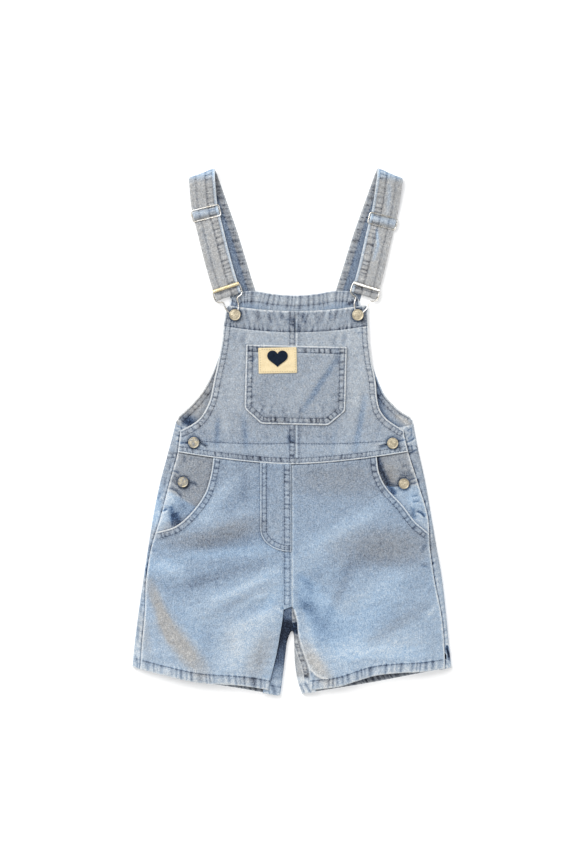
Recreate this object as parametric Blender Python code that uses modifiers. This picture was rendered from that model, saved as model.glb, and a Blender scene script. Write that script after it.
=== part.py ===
"""A child's denim shortalls, laid flat on their back.

The garment lies on the plane z = 0 with its front up, its straps towards +Y and
its hems towards -Y. "left" is the -X side and "right" the +X side, as seen from
above. Every cloth piece is a wall of even thickness. The back pieces lie on the
floor and roll over at the sides and round the crotch, and the front pieces lie
on the rolled edges, so both legs and the body are open tubes.

Tables and sizes are in millimetres, and MM turns them into metres.
"""

import math

import bmesh
import bpy
import numpy as np
from mathutils import Vector
from mathutils.geometry import delaunay_2d_cdt

MM = 0.001

# ---------------------------------------------------------------- cloth and gaps
CLOTH = 1.2  # thickness of one layer of denim
SEAM_GAP = 0.3  # between two pieces, at a seam or face to face
LAYER = CLOTH + SEAM_GAP  # from one layer's middle to the next one's
FLOOR_LEVEL = CLOTH / 2  # middle of a layer that lies on the floor
CAD_STEP = 12.0  # spacing of the points inside a crowned piece
EDGE_STEP = 11.0  # spacing of the points along an edge

# ------------------------------------------------------------------ the body
# Half-turned edges of the body, at heights y: where the outline is, and where the
# front's edge lies on the rolled back.
BODY = (
    # y, left outline, left seam, right seam, right outline
    (14.4, -139.2, -132.0, 130.8, 145.2),
    (-4.8, -143.4, -133.7, 133.8, 148.2),
    (-24.0, -148.2, -136.2, 138.5, 151.8),
    (-62.4, -158.4, -146.6, 150.7, 160.2),
    (-100.8, -166.2, -156.6, 162.0, 166.8),
    (-139.2, -172.4, -168.0, 164.4, 173.4),
    (-177.6, -178.2, -174.0, 170.0, 180.0),
    (-216.0, -183.8, -175.6, 177.6, 184.4),
    (-254.4, -188.6, -179.0, 181.6, 188.2),
    (-290.0, -192.0, -181.6, 182.4, 192.0),
)
BODY_COLUMNS = ("y", "left_outline", "left_seam", "right_seam", "right_outline")

FRONT_BIB_SIDE = (
    # y, left edge, right edge
    (148.5, -78.6, 90.6),
    (126.0, -81.6, 91.4),
    (104.4, -84.2, 92.6),
    (82.8, -88.4, 95.5),
    (61.2, -93.1, 99.6),
    (39.6, -97.6, 101.6),
    (25.2, -103.8, 105.4),
    (14.4, -111.6, 114.0),
    (7.2, -121.6, 124.0),
    (1.2, -133.4, 133.4),
)
BACK_BIB_SIDE = (
    # y, left edge, right edge
    (159.0, -73.2, 79.8),
    (122.4, -79.2, 86.4),
    (84.0, -89.6, 94.8),
    (57.0, -101.8, 104.6),
    (43.9, -110.4, 111.2),
    (32.4, -120.6, 121.4),
    (23.5, -130.0, 131.6),
    (17.8, -136.0, 141.6),
)
BIB_SIDE_COLUMNS = ("y", "left", "right")

BACK_BIB_TOP = (
    # x, y
    (-73.2, 159.0),
    (-69.5, 164.6),
    (-61.0, 167.6),
    (-46.0, 168.4),
    (-22.0, 165.0),
    (4.0, 163.2),
    (30.0, 165.2),
    (54.0, 168.8),
    (68.0, 168.2),
    (76.2, 164.6),
    (79.8, 159.0),
)
BACK_WAIST_Y = -24.0  # the back's waist seam
BACK_BIB_RISE = (120.0, 136.0)  # where the back bib climbs onto the strap ends

FRONT_BIB_TOP_Y = 144.4  # middle of the front bib's top edge
FRONT_BIB_TOP_RISE = 6.2  # how much higher the edge is 76 mm away
FRONT_BIB_TOP_REACH = 76.0
BIB_CORNER = 3.0  # cut off the front bib's top corners
BIB_CENTRE_X = 4.4  # the bib's centre seam
WAIST_Y = -38.0  # lowest point of the front waist seam
WAIST_RISE = 14.5  # and how much it rises to the side seams
WAIST_REACH = 137.0
WAIST_BEND = 1.6
WAIST_LAP = 8.0  # the legs run this far up under the bib
BIB_SETTLE = 36.0  # the bib comes down from the legs' edges over this much

CROTCH_Y = -208.0  # lower end of the front's centre seam
LEFT_INSEAM = (
    # y, x of the front's inner edge
    (-212.0, -10.4),
    (-225.0, -11.8),
    (-240.0, -14.4),
    (-260.0, -17.8),
    (-277.0, -21.5),
    (-291.0, -25.0),
    (-308.0, -28.4),
)
RIGHT_INSEAM = (
    (-212.0, 2.6),
    (-225.0, 6.2),
    (-240.0, 7.6),
    (-256.0, 11.2),
    (-270.0, 16.0),
    (-282.0, 20.0),
    (-309.0, 22.6),
)
INSEAM_COLUMNS = ("y", "x")

INSEAM_TOP_Y = -212.0
INSEAM_END_Y = -307.0  # about where the inseams meet the hems
HEM_Y = -283.0  # about where the side seams do

# The notch between the legs: its apex, and the outline of each leg below it.
NOTCH_Y = -239.0
NOTCH = (
    # y, left leg, right leg
    (-243.0, -3.4, 2.2),
    (-252.0, -6.0, 2.6),
    (-262.0, -7.4, 2.8),
    (-281.0, -9.6, 4.0),
    (-300.0, -12.0, 7.4),
    (-314.0, -14.0, 12.6),
)
NOTCH_COLUMNS = ("y", "left", "right")
NOTCH_ARCH = ((SEAM_GAP / 2, 0.0), (1.5, 0.0), (3.8, 1.6))  # out from the centre, drop

FRONT_HEM_LEFT = (
    # x, y
    (-190.0, -281.0),
    (-160.0, -288.6),
    (-133.0, -295.0),
    (-107.0, -299.6),
    (-86.0, -301.0),
    (-66.0, -302.2),
    (-46.0, -304.6),
    (-28.0, -308.0),
)
FRONT_HEM_RIGHT = (
    (22.0, -308.2),
    (38.0, -306.4),
    (56.0, -303.8),
    (78.0, -296.8),
    (98.0, -290.8),
    (131.0, -287.2),
    (152.0, -286.4),
    (190.0, -281.6),
)
BACK_HEM_LEFT = (
    (-192.0, -280.6),
    (-160.0, -288.4),
    (-107.0, -300.0),
    (-66.0, -306.4),
    (-33.0, -312.2),
    (-14.0, -315.6),
)
BACK_HEM_RIGHT = (
    (12.0, -313.6),
    (38.0, -309.4),
    (91.0, -300.6),
    (145.0, -290.4),
    (192.0, -281.4),
)
HEM_COLUMNS = ("x", "y")

# ------------------------------------------------------------ rolled edges
ROLL_BULGE = 2.6  # how far a rolled edge stands out past its fold line
FOLD_INSET = ROLL_BULGE + CLOTH / 2  # from the outline to the fold line
ROLL_FACETS = 6
SEAM_LAP = 6.0  # the front's edge covers this much of the rolled back
UNDERLAP = (
    # y, width of the buttoned underlap beyond the front's edge
    (20.0, 26.0),
    (-90.0, 26.0),
    (-128.0, SEAM_LAP),
    (-320.0, SEAM_LAP),
)
UNDERLAP_COLUMNS = ("y", "width")
ROLL_LEVEL = (
    # y, layers between the rolled back and the level of the hip panel
    (20.0, -1.0),
    (-138.0, -1.0),
    (-158.0, -0.15),
    (-320.0, -0.15),
)
ROLL_LEVEL_COLUMNS = ("y", "layers")
ARMHOLE_TURN = (7.0, 6.0)  # drops of the underlap's slanted top: in the roll and past it
ARMHOLE_CORNER = 3.0  # the armholes' lower corners are cut off by this
VENT = (-254.0, -272.0)  # open stretch of the right side seam above the hem
VENT_DEPTH = 5.0

# -------------------------------------------------- how high the front lies
LOFT = (
    # y, height of the hip panel's level at the outline, and rise inside it
    (150.0, 3.9, 0.5),
    (100.0, 3.9, 1.8),
    (50.0, 4.2, 3.2),
    (20.0, 4.8, 3.8),
    (0.0, 5.6, 4.0),
    (-60.0, 5.6, 5.0),
    (-140.0, 5.6, 7.0),
    (-220.0, 5.6, 7.6),
    (-315.0, 5.6, 6.0),
)
LOFT_COLUMNS = ("y", "edge", "rise")
CROWN_REACH = 26.0  # distance over which the cloth rises from its edge
CROWN_BLEND = 9.0
FOLDS = (
    # x0, y0, x1, y1, half width, height: the largest folds, ridges and troughs
    (-20.0, -206.0, -92.0, -160.0, 22.0, -1.3),
    (-170.0, -200.0, -120.0, -290.0, 24.0, 1.6),
    (26.0, -212.0, 76.0, -262.0, 24.0, -1.6),
    (30.0, -176.0, 132.0, -104.0, 24.0, 1.2),
    (70.0, -232.0, 150.0, -166.0, 24.0, 1.2),
)
FOLD_COLUMNS = ("x0", "y0", "x1", "y1", "width", "height")

# ------------------------------------------------------------ pockets and fly
LEFT_POCKET = (
    # x, y along the open edge, from the waist seam to the side seam
    (-93.2, -29.0),
    (-96.4, -50.0),
    (-103.4, -73.0),
    (-118.2, -94.6),
    (-139.0, -113.0),
    (-163.2, -120.4),
)
RIGHT_POCKET = (
    (100.6, -27.0),
    (103.4, -48.0),
    (110.6, -64.0),
    (133.0, -89.4),
    (146.0, -106.6),
    (163.4, -121.6),
)
POCKET_FACING = 13.0  # the hip panel runs this far in under the open edge
HIP_PANEL_END_Y = -134.0
FLY_SIDES = (-1.2, -37.5)
FLY_TOP_GAP = 0.6  # below the bib's lower edge
FLY_END_Y = -142.5
FLY_CURVE = 26.0
BIB_POCKET_CENTRE = (4.2, 56.0)
BIB_POCKET_SIZE = (119.5, 93.5)
BIB_POCKET_CHAMFER = (20.0, 17.5)
BIB_POCKET_TURN = -1.4  # degrees
PATCH_CENTRE = (-17.2, 85.6)
PATCH_SIZE = (45.0, 30.0)
PATCH_TURN = 1.2
HEART_CENTRE = (-17.4, 88.2)
HEART_WIDTH = 24.0
HEART_THICKNESS = 0.8
HEART_STEP = 8.0

# ------------------------------------------------------------ straps
STRAP_WIDTH = 31.0
STRAP_COLUMNS_ACROSS = 4
BACK_ROWS = 7  # rows of points along the back part
CURVE_ROWS = 12  # between two places on the front part's curve
BELOW_BAR = 50.0  # the front part's line runs this far past the buckle's bar
STRAPS = {
    # base on the back bib, axis of the shoulder bend, slider, buckle bar, button;
    # and the front part's slant at the bend and the slider, in degrees
    "left": {
        "base": (-56.0, 157.0),
        "bend": (-107.6, 303.5),
        "slider": (-103.1, 262.0),
        "bar": (-79.2, 172.8),
        "button": (-68.2, 140.2),
        "slants": (5.0, 11.0),
        "inner": 1.0,
    },
    "right": {
        "base": (64.4, 157.0),
        "bend": (117.0, 303.2),
        "slider": (108.6, 252.6),
        "bar": (89.2, 174.0),
        "button": (78.6, 139.9),
        "slants": (-8.0, -12.0),
        "inner": -1.0,
    },
}
BEND_RADIUS = (3.4, 8.2)  # of the shoulder bend, at the outer and inner edge
BEND_FACETS = 8
OVER_SLIDER = (
    # distance from the slider's bar, rise of the strap over it
    (5.7, 0.0),
    (4.4, 1.1),
    (3.2, 3.2),
    (1.6, 4.8),
    (0.0, 5.2),
)
OVER_BUCKLE = (
    # distance past the buckle's top bar, rise above the level under that bar
    (-1.6, 0.0),
    (1.6, 0.0),
    (4.6, 1.7),
    (7.4, 3.4),
)
BEHIND_BUCKLE = (
    # the same for the rear layer, going back up
    (6.2, -1.1),
    (1.0, -LAYER),
    (-14.0, -LAYER),
)
BEHIND_SLIDER = (
    # distance past the slider's bar, rise above the level under its wires
    (40.0, 0.6 - LAYER),
    (12.0, -LAYER),
    (5.4, -LAYER),
    (3.4, 0.5 - LAYER),
    (1.6, 1.45 - LAYER),
)
WIRE_RADIUS = 0.9
SLIDER_SIZE = (34.0, 13.5)  # between the wires' middles
SLIDER_LEVEL = 5.4
SLIDER_BAR_RADIUS = 0.7
SLIDER_CORNER = 2.4
BUCKLE_LEVEL = 6.9  # middle of the wires at the strap
BUCKLE_NECK_LEVEL = 6.5  # middle of the wire round the button
CROSSBAR_AT = 9.2  # from the buckle's top bar
CROSSBAR_RADIUS = 0.8
BUCKLE_HALF = (
    # out from the buckle's axis, along it from the top bar
    (0.0, 0.0),
    (14.6, 0.0),
    (16.4, 0.7),
    (17.0, 2.4),
    (17.0, 10.6),
    (16.1, 12.6),
    (13.2, 14.4),
    (9.9, 15.2),
    (8.3, 16.8),
    (8.5, 20.6),
    (8.0, 24.6),
    (6.4, 28.0),
    (4.9, 30.8),
    (4.5, 34.4),
    (3.7, 37.6),
    (1.8, 39.5),
    (0.0, 39.9),
)

# ------------------------------------------------------------ buttons
BUTTON_CAP = (
    # radius, height above the foot
    (0.0, 2.6),
    (4.2, 2.5),
    (6.0, 2.2),
    (6.8, 1.5),
    (6.9, 0.9),
    (6.2, 0.2),
)
BUTTON_NECK_RADIUS = 2.4
BUTTON_STEPS = 18
BIB_BUTTON_FOOT = 3.1  # room under the cap for the buckle's wire
SIDE_BUTTON_FOOT = 1.2
SIDE_BUTTONS = {
    "waist_button_left": (-117.2, -12.6),
    "waist_button_right": (120.1, -13.4),
    "hip_button_left": (-127.9, -62.2),
    "hip_button_right": (133.7, -61.8),
}


# ------------------------------------------------------------ small helpers
def through(xs, ys):
    """A smooth curve through a table's points that never overshoots them."""
    order = np.argsort(xs)
    x = np.asarray(xs, float)[order]
    y = np.asarray(ys, float)[order]
    run, slope = np.diff(x), np.diff(y) / np.diff(x)
    tangent = np.concatenate([slope[:1], (slope[1:] + slope[:-1]) / 2, slope[-1:]])
    turns = slope[1:] * slope[:-1] <= 0
    tangent[1:-1][turns] = 0
    for i, s in enumerate(slope):
        limit = 3 * abs(s)
        tangent[i] = np.clip(tangent[i], -limit, limit)
        tangent[i + 1] = np.clip(tangent[i + 1], -limit, limit)

    def value(at):
        at = np.clip(at, x[0], x[-1])
        i = np.clip(np.searchsorted(x, at, side="right") - 1, 0, len(run) - 1)
        t = (at - x[i]) / run[i]
        return (
            y[i] * (1 + 2 * t) * (1 - t) ** 2
            + run[i] * tangent[i] * t * (1 - t) ** 2
            + y[i + 1] * t * t * (3 - 2 * t)
            + run[i] * tangent[i + 1] * t * t * (t - 1)
        )

    return value


def column(table, columns, key, value):
    """The smooth curve of one column of a table against another."""
    rows = np.array(table, float)
    return through(rows[:, columns.index(key)], rows[:, columns.index(value)])


def smoothstep(t):
    t = np.clip(t, 0, 1)
    return t * t * (3 - 2 * t)


def turned(points, centre, degrees):
    """Points given about a centre, turned and moved there."""
    a = math.radians(degrees)
    p = np.asarray(points, float)
    turn = np.array([[math.cos(a), math.sin(a)], [-math.sin(a), math.cos(a)]])
    return p @ turn + centre


def resampled(points, step=EDGE_STEP):
    """Points spaced evenly along a polyline, its two ends kept."""
    p = np.asarray(points, float)
    along = np.concatenate([[0], np.cumsum(np.linalg.norm(np.diff(p, axis=0), axis=1))])
    count = max(1, round(along[-1] / step))
    at = np.linspace(0, along[-1], count + 1)
    return np.column_stack([np.interp(at, along, p[:, i]) for i in (0, 1)])


def curve_through(points, step=EDGE_STEP):
    """A smooth line through hand-picked points, by its own length."""
    p = np.asarray(points, float)
    along = np.concatenate([[0], np.cumsum(np.linalg.norm(np.diff(p, axis=0), axis=1))])
    fine = np.linspace(0, along[-1], 12 * len(p))
    x, y = through(along, p[:, 0]), through(along, p[:, 1])
    return resampled(np.column_stack([x(fine), y(fine)]), step)


def side_line(curve, y_from, y_to, step=EDGE_STEP, shift=0.0):
    """The line x = curve(y) + shift between two heights."""
    y = np.linspace(y_from, y_to, 60)
    return resampled(np.column_stack([curve(y) + shift, y]), step)


def level_line(curve, x_from, x_to, step=EDGE_STEP, shift=0.0):
    """The line y = curve(x) + shift between two places."""
    x = np.linspace(x_from, x_to, 60)
    return resampled(np.column_stack([x, curve(x) + shift]), step)


def meet(side_curve, cross_curve, y):
    """The height at which a line x = side_curve(y) meets the line y = cross_curve(x)."""
    for _ in range(12):
        y = float(cross_curve(side_curve(y)))
    return y


def loop_of(*lines):
    """One closed outline from lines that follow each other."""
    joined = np.concatenate([np.atleast_2d(line) for line in lines])
    apart = np.linalg.norm(joined - np.roll(joined, 1, axis=0), axis=1) > 0.05
    return joined[apart]


def inside(points, outline):
    """Which points lie inside a closed outline."""
    x, y = points[:, :1], points[:, 1:2]
    x0, y0 = outline[:, 0], outline[:, 1]
    x1, y1 = np.roll(x0, -1), np.roll(y0, -1)
    crosses = (y0 > y) != (y1 > y)
    rise = np.where(y1 == y0, 1.0, y1 - y0)
    return (crosses & (x < (x1 - x0) * (y - y0) / rise + x0)).sum(axis=1) % 2 == 1


def distance_to_line(points, line):
    """How far each point is from a polyline."""
    a, b = line[:-1], line[1:]
    run = b - a
    length = np.maximum((run**2).sum(1), 1e-9)
    t = ((points[:, None] - a) * run).sum(2) / length
    near = a + np.clip(t, 0, 1)[:, :, None] * run
    return np.linalg.norm(points[:, None] - near, axis=2).min(axis=1)


# ------------------------------------------------------------ the edges
OUTLINE = {s: column(BODY, BODY_COLUMNS, "y", s + "_outline") for s in ("left", "right")}
SEAM = {s: column(BODY, BODY_COLUMNS, "y", s + "_seam") for s in ("left", "right")}
FRONT_BIB = {s: column(FRONT_BIB_SIDE, BIB_SIDE_COLUMNS, "y", s) for s in ("left", "right")}
BACK_BIB = {s: column(BACK_BIB_SIDE, BIB_SIDE_COLUMNS, "y", s) for s in ("left", "right")}
INSEAM = {
    "left": column(LEFT_INSEAM, INSEAM_COLUMNS, "y", "x"),
    "right": column(RIGHT_INSEAM, INSEAM_COLUMNS, "y", "x"),
}
FRONT_HEM = {
    "left": column(FRONT_HEM_LEFT, HEM_COLUMNS, "x", "y"),
    "right": column(FRONT_HEM_RIGHT, HEM_COLUMNS, "x", "y"),
}
BACK_HEM = {
    "left": column(BACK_HEM_LEFT, HEM_COLUMNS, "x", "y"),
    "right": column(BACK_HEM_RIGHT, HEM_COLUMNS, "x", "y"),
}
NOTCH_SIDE = {s: column(NOTCH, NOTCH_COLUMNS, "y", s) for s in ("left", "right")}
POCKET = {"left": LEFT_POCKET, "right": RIGHT_POCKET}
OUTWARD = {"left": -1.0, "right": 1.0}
underlap = column(UNDERLAP, UNDERLAP_COLUMNS, "y", "width")
roll_layers = column(ROLL_LEVEL, ROLL_LEVEL_COLUMNS, "y", "layers")
edge_height = column(LOFT, LOFT_COLUMNS, "y", "edge")
crown_rise = column(LOFT, LOFT_COLUMNS, "y", "rise")


def waist(x):
    """The front waist seam."""
    return WAIST_Y + WAIST_RISE * np.abs(x / WAIST_REACH) ** WAIST_BEND


def leg_top(x):
    """The hidden top edge of the front legs and hip panels, under the bib."""
    return waist(x) + WAIST_LAP


def front_bib_top(x):
    out = (x - BIB_CENTRE_X) / FRONT_BIB_TOP_REACH
    return FRONT_BIB_TOP_Y + FRONT_BIB_TOP_RISE * out**2


def crown_edge(side, y):
    """The outline that the front's crown starts from: the bib's, then the body's."""
    bib, body = FRONT_BIB[side](y), OUTLINE[side](y)
    return bib + (body - bib) * smoothstep((4.0 - y) / 16.0)


# ------------------------------------------------------------ the surfaces
def fold_height(x, y):
    """The largest folds: soft ridges and troughs along hand-placed lines."""
    height = np.zeros(np.broadcast(x, y).shape)
    for row in FOLDS:
        fold = dict(zip(FOLD_COLUMNS, row))
        run = (fold["x1"] - fold["x0"], fold["y1"] - fold["y0"])
        length = run[0] ** 2 + run[1] ** 2
        t = ((x - fold["x0"]) * run[0] + (y - fold["y0"]) * run[1]) / length
        t = np.clip(t, 0, 1)
        away = np.hypot(x - fold["x0"] - t * run[0], y - fold["y0"] - t * run[1])
        ends = 0.35 + 0.65 * np.sin(math.pi * t)
        height = height + fold["height"] * ends * np.exp(-((away / fold["width"]) ** 2))
    return height


def hip_level(x, y):
    """Middle of the cloth at the hip panels' level, which all of the front follows."""
    notch = np.where(
        y > NOTCH_Y,
        np.hypot(x, y - NOTCH_Y),
        np.maximum(x - NOTCH_SIDE["right"](y), NOTCH_SIDE["left"](y) - x),
    )
    sides = (x - crown_edge("left", y), crown_edge("right", y) - x, notch)
    near = -CROWN_BLEND * np.log(sum(np.exp(-d / CROWN_BLEND) for d in sides))
    crown = 1 - np.exp(-np.maximum(near, 0) / CROWN_REACH)
    return edge_height(y) + crown * (crown_rise(y) + fold_height(x, y))


def front_leg_level(x, y):
    return hip_level(x, y) + LAYER


def fly_level(x, y):
    return hip_level(x, y) + 2 * LAYER


def front_bib_level(x, y):
    """Two layers up where it laps the legs, and down on the back bib above that."""
    lapped = 1 - smoothstep((y - waist(x) - WAIST_LAP - 3.0) / BIB_SETTLE)
    return hip_level(x, y) + 2 * LAYER * lapped


def bib_pocket_level(x, y):
    return front_bib_level(x, y) + LAYER


def patch_level(x, y):
    return bib_pocket_level(x, y) + LAYER


def heart_level(x, y):
    return patch_level(x, y) + LAYER


def rolled_level(x, y):
    return hip_level(x, y) + roll_layers(y) * LAYER


def floor_level(x, y):
    return np.full(np.broadcast(x, y).shape, FLOOR_LEVEL)


def back_bib_level(x, y):
    low, high = BACK_BIB_RISE
    return FLOOR_LEVEL + LAYER * smoothstep((y - low) / (high - low))


# ------------------------------------------------------------ making solids
def material(name, colour, roughness, metallic=0.0):
    made = bpy.data.materials.new(name)
    made.use_nodes = True
    shader = made.node_tree.nodes["Principled BSDF"]
    shader.inputs["Base Color"].default_value = (*colour, 1.0)
    shader.inputs["Roughness"].default_value = roughness
    shader.inputs["Metallic"].default_value = metallic
    return made


def new_object(name, mesh, look, collection):
    made = bpy.data.objects.new(name, mesh)
    mesh.materials.clear()
    mesh.materials.append(look)
    mesh.shade_smooth()
    mesh.set_sharp_from_angle(angle=math.radians(40.0))
    collection.objects.link(made)
    return made


def add_chart(shape, outline, height, step=None):
    """A piece of cloth laid out in plan and lifted to its height."""
    points = np.asarray(outline, float)
    count = len(points)
    if step:
        low, high = points.min(0), points.max(0)
        rows = np.arange(low[1], high[1], step * math.sqrt(0.75))
        grid = [
            (x, y)
            for i, y in enumerate(rows)
            for x in np.arange(low[0] + (i % 2) * step / 2, high[0], step)
        ]
        grid = np.array(grid)
        closed = np.vstack([points, points[:1]])
        room = distance_to_line(grid, closed) > 0.5 * step
        points = np.vstack([points, grid[inside(grid, points) & room]])
    edges = [(i, (i + 1) % count) for i in range(count)]
    flat = [Vector(p) for p in points]
    placed, _, faces, _, _, _ = delaunay_2d_cdt(flat, edges, [list(range(count))], 1, 1e-6)
    x = np.array([p[0] for p in placed])
    y = np.array([p[1] for p in placed])
    z = height(x, y)
    made = [shape.verts.new(Vector(p) * MM) for p in zip(x, y, z)]
    for face in faces:
        shape.faces.new([made[i] for i in face])


def add_roll(shape, lower, upper, outward, height_below, height_above):
    """A rolled edge: a half turn from a line on the floor layer to the line above it."""
    rings = []
    z0 = height_below(lower[:, 0], lower[:, 1])
    z1 = height_above(upper[:, 0], upper[:, 1])
    for k in range(ROLL_FACETS + 1):
        a = math.pi * k / ROLL_FACETS
        across = (1 - math.cos(a)) / 2
        plan = lower + (upper - lower) * across + outward * ROLL_BULGE * math.sin(a)
        z = z0 + (z1 - z0) * across
        rings.append([shape.verts.new(Vector((*p, h)) * MM) for p, h in zip(plan, z)])
    for ring, after in zip(rings, rings[1:]):
        for i in range(len(ring) - 1):
            shape.faces.new((ring[i], ring[i + 1], after[i + 1], after[i]))


def add_ribbon(shape, rows):
    """A band of cloth from rows of points across it."""
    made = [[shape.verts.new(Vector(p) * MM) for p in row] for row in rows]
    for row, after in zip(made, made[1:]):
        for i in range(len(row) - 1):
            shape.faces.new((row[i], row[i + 1], after[i + 1], after[i]))


def cloth(name, look, collection, build, thickness=CLOTH):
    """An open surface, given its thickness by Solidify."""
    shape = bmesh.new()
    build(shape)
    bmesh.ops.remove_doubles(shape, verts=shape.verts, dist=0.02 * MM)
    bmesh.ops.recalc_face_normals(shape, faces=shape.faces)
    mesh = bpy.data.meshes.new(name)
    shape.to_mesh(mesh)
    shape.free()
    made = new_object(name, mesh, look, collection)
    wall = made.modifiers.new("wall", "SOLIDIFY")
    wall.thickness = thickness * MM
    wall.offset = 0.0
    wall.use_even_offset = True
    wall.use_quality_normals = True
    return made


def round_wire(name, points, radius, closed):
    """A mesh tube along points, with its caps welded."""
    line = bpy.data.curves.new(name, "CURVE")
    line.dimensions = "3D"
    line.bevel_depth = radius * MM
    line.bevel_resolution = 2
    line.use_fill_caps = not closed
    spline = line.splines.new("POLY")
    spline.points.add(len(points) - 1)
    for place, p in zip(spline.points, points):
        place.co = (*(Vector(p) * MM), 1.0)
    spline.use_cyclic_u = closed
    helper = bpy.data.objects.new(name + "_line", line)
    bpy.context.scene.collection.objects.link(helper)
    bpy.context.view_layer.update()
    graph = bpy.context.evaluated_depsgraph_get()
    mesh = bpy.data.meshes.new_from_object(helper.evaluated_get(graph))
    bpy.data.objects.remove(helper)
    shape = bmesh.new()
    shape.from_mesh(mesh)
    bmesh.ops.remove_doubles(shape, verts=shape.verts, dist=0.01 * MM)
    bmesh.ops.recalc_face_normals(shape, faces=shape.faces)
    shape.to_mesh(mesh)
    shape.free()
    return mesh


def wire_with_bar(name, loop, bar, bar_radius, look, collection, helpers):
    """A closed wire and the bar across it, joined into one body."""
    made = new_object(name, round_wire(name, loop, WIRE_RADIUS, True), look, collection)
    rod = new_object(name + "_rod", round_wire(name, bar, bar_radius, False), look, helpers)
    rod.hide_render = True
    rod.display_type = "WIRE"
    join = made.modifiers.new("join", "BOOLEAN")
    join.operation = "UNION"
    join.object = rod
    return made


# ------------------------------------------------------------ front pieces
def front_bib(side):
    """One half of the front bib, from its centre seam to the armhole."""
    middle = BIB_CENTRE_X + OUTWARD[side] * SEAM_GAP / 2
    corner_y, armhole_y = FRONT_BIB_SIDE[0][0], FRONT_BIB_SIDE[-1][0]
    corner_x = FRONT_BIB[side](corner_y)
    low_y = meet(SEAM[side], waist, BACK_WAIST_Y)
    return loop_of(
        level_line(front_bib_top, middle, corner_x - OUTWARD[side] * BIB_CORNER),
        side_line(FRONT_BIB[side], corner_y, armhole_y),
        side_line(SEAM[side], armhole_y - ARMHOLE_CORNER, low_y),
        level_line(waist, SEAM[side](low_y), middle),
        resampled([(middle, waist(middle)), (middle, front_bib_top(middle))]),
    )


def front_leg(side):
    """A front leg with its curved pocket edge."""
    middle = OUTWARD[side] * SEAM_GAP / 2
    pocket = curve_through(POCKET[side])
    top_x = pocket[0, 0]
    side_y = meet(SEAM[side], column(POCKET[side], HEM_COLUMNS, "x", "y"), pocket[-1, 1])
    pocket = pocket[np.abs(pocket[:, 0]) < abs(SEAM[side](side_y)) - 2.0]
    hem_y = meet(SEAM[side], FRONT_HEM[side], HEM_Y)
    inner_y = meet(INSEAM[side], FRONT_HEM[side], INSEAM_END_Y)
    top_y = leg_top(middle)
    return loop_of(
        level_line(leg_top, middle, top_x),
        pocket,
        side_line(SEAM[side], side_y, hem_y),
        level_line(FRONT_HEM[side], SEAM[side](hem_y), INSEAM[side](inner_y)),
        side_line(INSEAM[side], inner_y, INSEAM_TOP_Y),
        resampled([(INSEAM[side](INSEAM_TOP_Y), INSEAM_TOP_Y), (middle, CROTCH_Y)]),
        resampled([(middle, CROTCH_Y), (middle, top_y)]),
    )


def hip_panel(side):
    """The piece behind the curved pocket edge, which carries the hip button."""
    pocket = curve_through(POCKET[side])
    tangent = np.gradient(pocket, axis=0)
    tangent /= np.linalg.norm(tangent, axis=1)[:, None]
    inward = np.column_stack([-tangent[:, 1], tangent[:, 0]]) * -OUTWARD[side]
    hidden = (pocket + inward * POCKET_FACING)[:-1]
    hidden = hidden[np.abs(hidden[:, 0]) < np.abs(SEAM[side](hidden[:, 1])) - 4.0]
    start_x = hidden[0, 0]
    side_y = meet(SEAM[side], leg_top, BACK_WAIST_Y)
    low_x = SEAM[side](HIP_PANEL_END_Y)
    return loop_of(
        level_line(leg_top, start_x, SEAM[side](side_y)),
        side_line(SEAM[side], side_y, HIP_PANEL_END_Y),
        [(low_x - OUTWARD[side] * 8.0, HIP_PANEL_END_Y)],
        hidden[::-1],
    )


def fly():
    """The fly's facing, a J-shaped piece on the left leg beside the centre seam."""
    inner, outer = FLY_SIDES
    bend_y = FLY_END_Y + FLY_CURVE
    quarter = [
        (inner + (outer - inner) * math.cos(a), bend_y - FLY_CURVE * math.sin(a))
        for a in np.linspace(0, math.pi / 2, 7)
    ]
    return loop_of(
        level_line(waist, inner, outer, shift=-FLY_TOP_GAP),
        resampled([(outer, waist(outer) - FLY_TOP_GAP), (outer, bend_y)]),
        quarter,
        resampled([(inner, FLY_END_Y), (inner, waist(inner) - FLY_TOP_GAP)]),
    )


def bib_pocket():
    w, h = BIB_POCKET_SIZE[0] / 2, BIB_POCKET_SIZE[1] / 2
    cut_x, cut_y = BIB_POCKET_CHAMFER
    corners = [(-w, h), (-w, cut_y - h), (cut_x - w, -h), (w - cut_x, -h), (w, cut_y - h), (w, h)]
    closed = corners + corners[:1]
    sides = [resampled([a, b]) for a, b in zip(closed, closed[1:])]
    return turned(loop_of(*sides), BIB_POCKET_CENTRE, BIB_POCKET_TURN)


def patch():
    w, h = PATCH_SIZE[0] / 2, PATCH_SIZE[1] / 2
    closed = [(-w, h), (-w, -h), (w, -h), (w, h), (-w, h)]
    sides = [resampled([a, b]) for a, b in zip(closed, closed[1:])]
    return turned(loop_of(*sides), PATCH_CENTRE, PATCH_TURN)


def heart():
    """A plain heart, from the usual sine and cosine formula."""
    t = np.linspace(0, 2 * math.pi, 28, endpoint=False)
    x = 16 * np.sin(t) ** 3
    y = 13 * np.cos(t) - 5 * np.cos(2 * t) - 2 * np.cos(3 * t) - np.cos(4 * t)
    return np.column_stack([x, y]) * HEART_WIDTH / 32.0 + HEART_CENTRE


# ------------------------------------------------------------ back pieces
def outward_of(line, hint):
    """Unit directions square to a line, on the side of the hint."""
    run = np.gradient(line, axis=0)
    run /= np.linalg.norm(run, axis=1)[:, None]
    square = np.column_stack([run[:, 1], -run[:, 0]])
    return square * np.sign((square @ np.array(hint)))[:, None]


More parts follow.
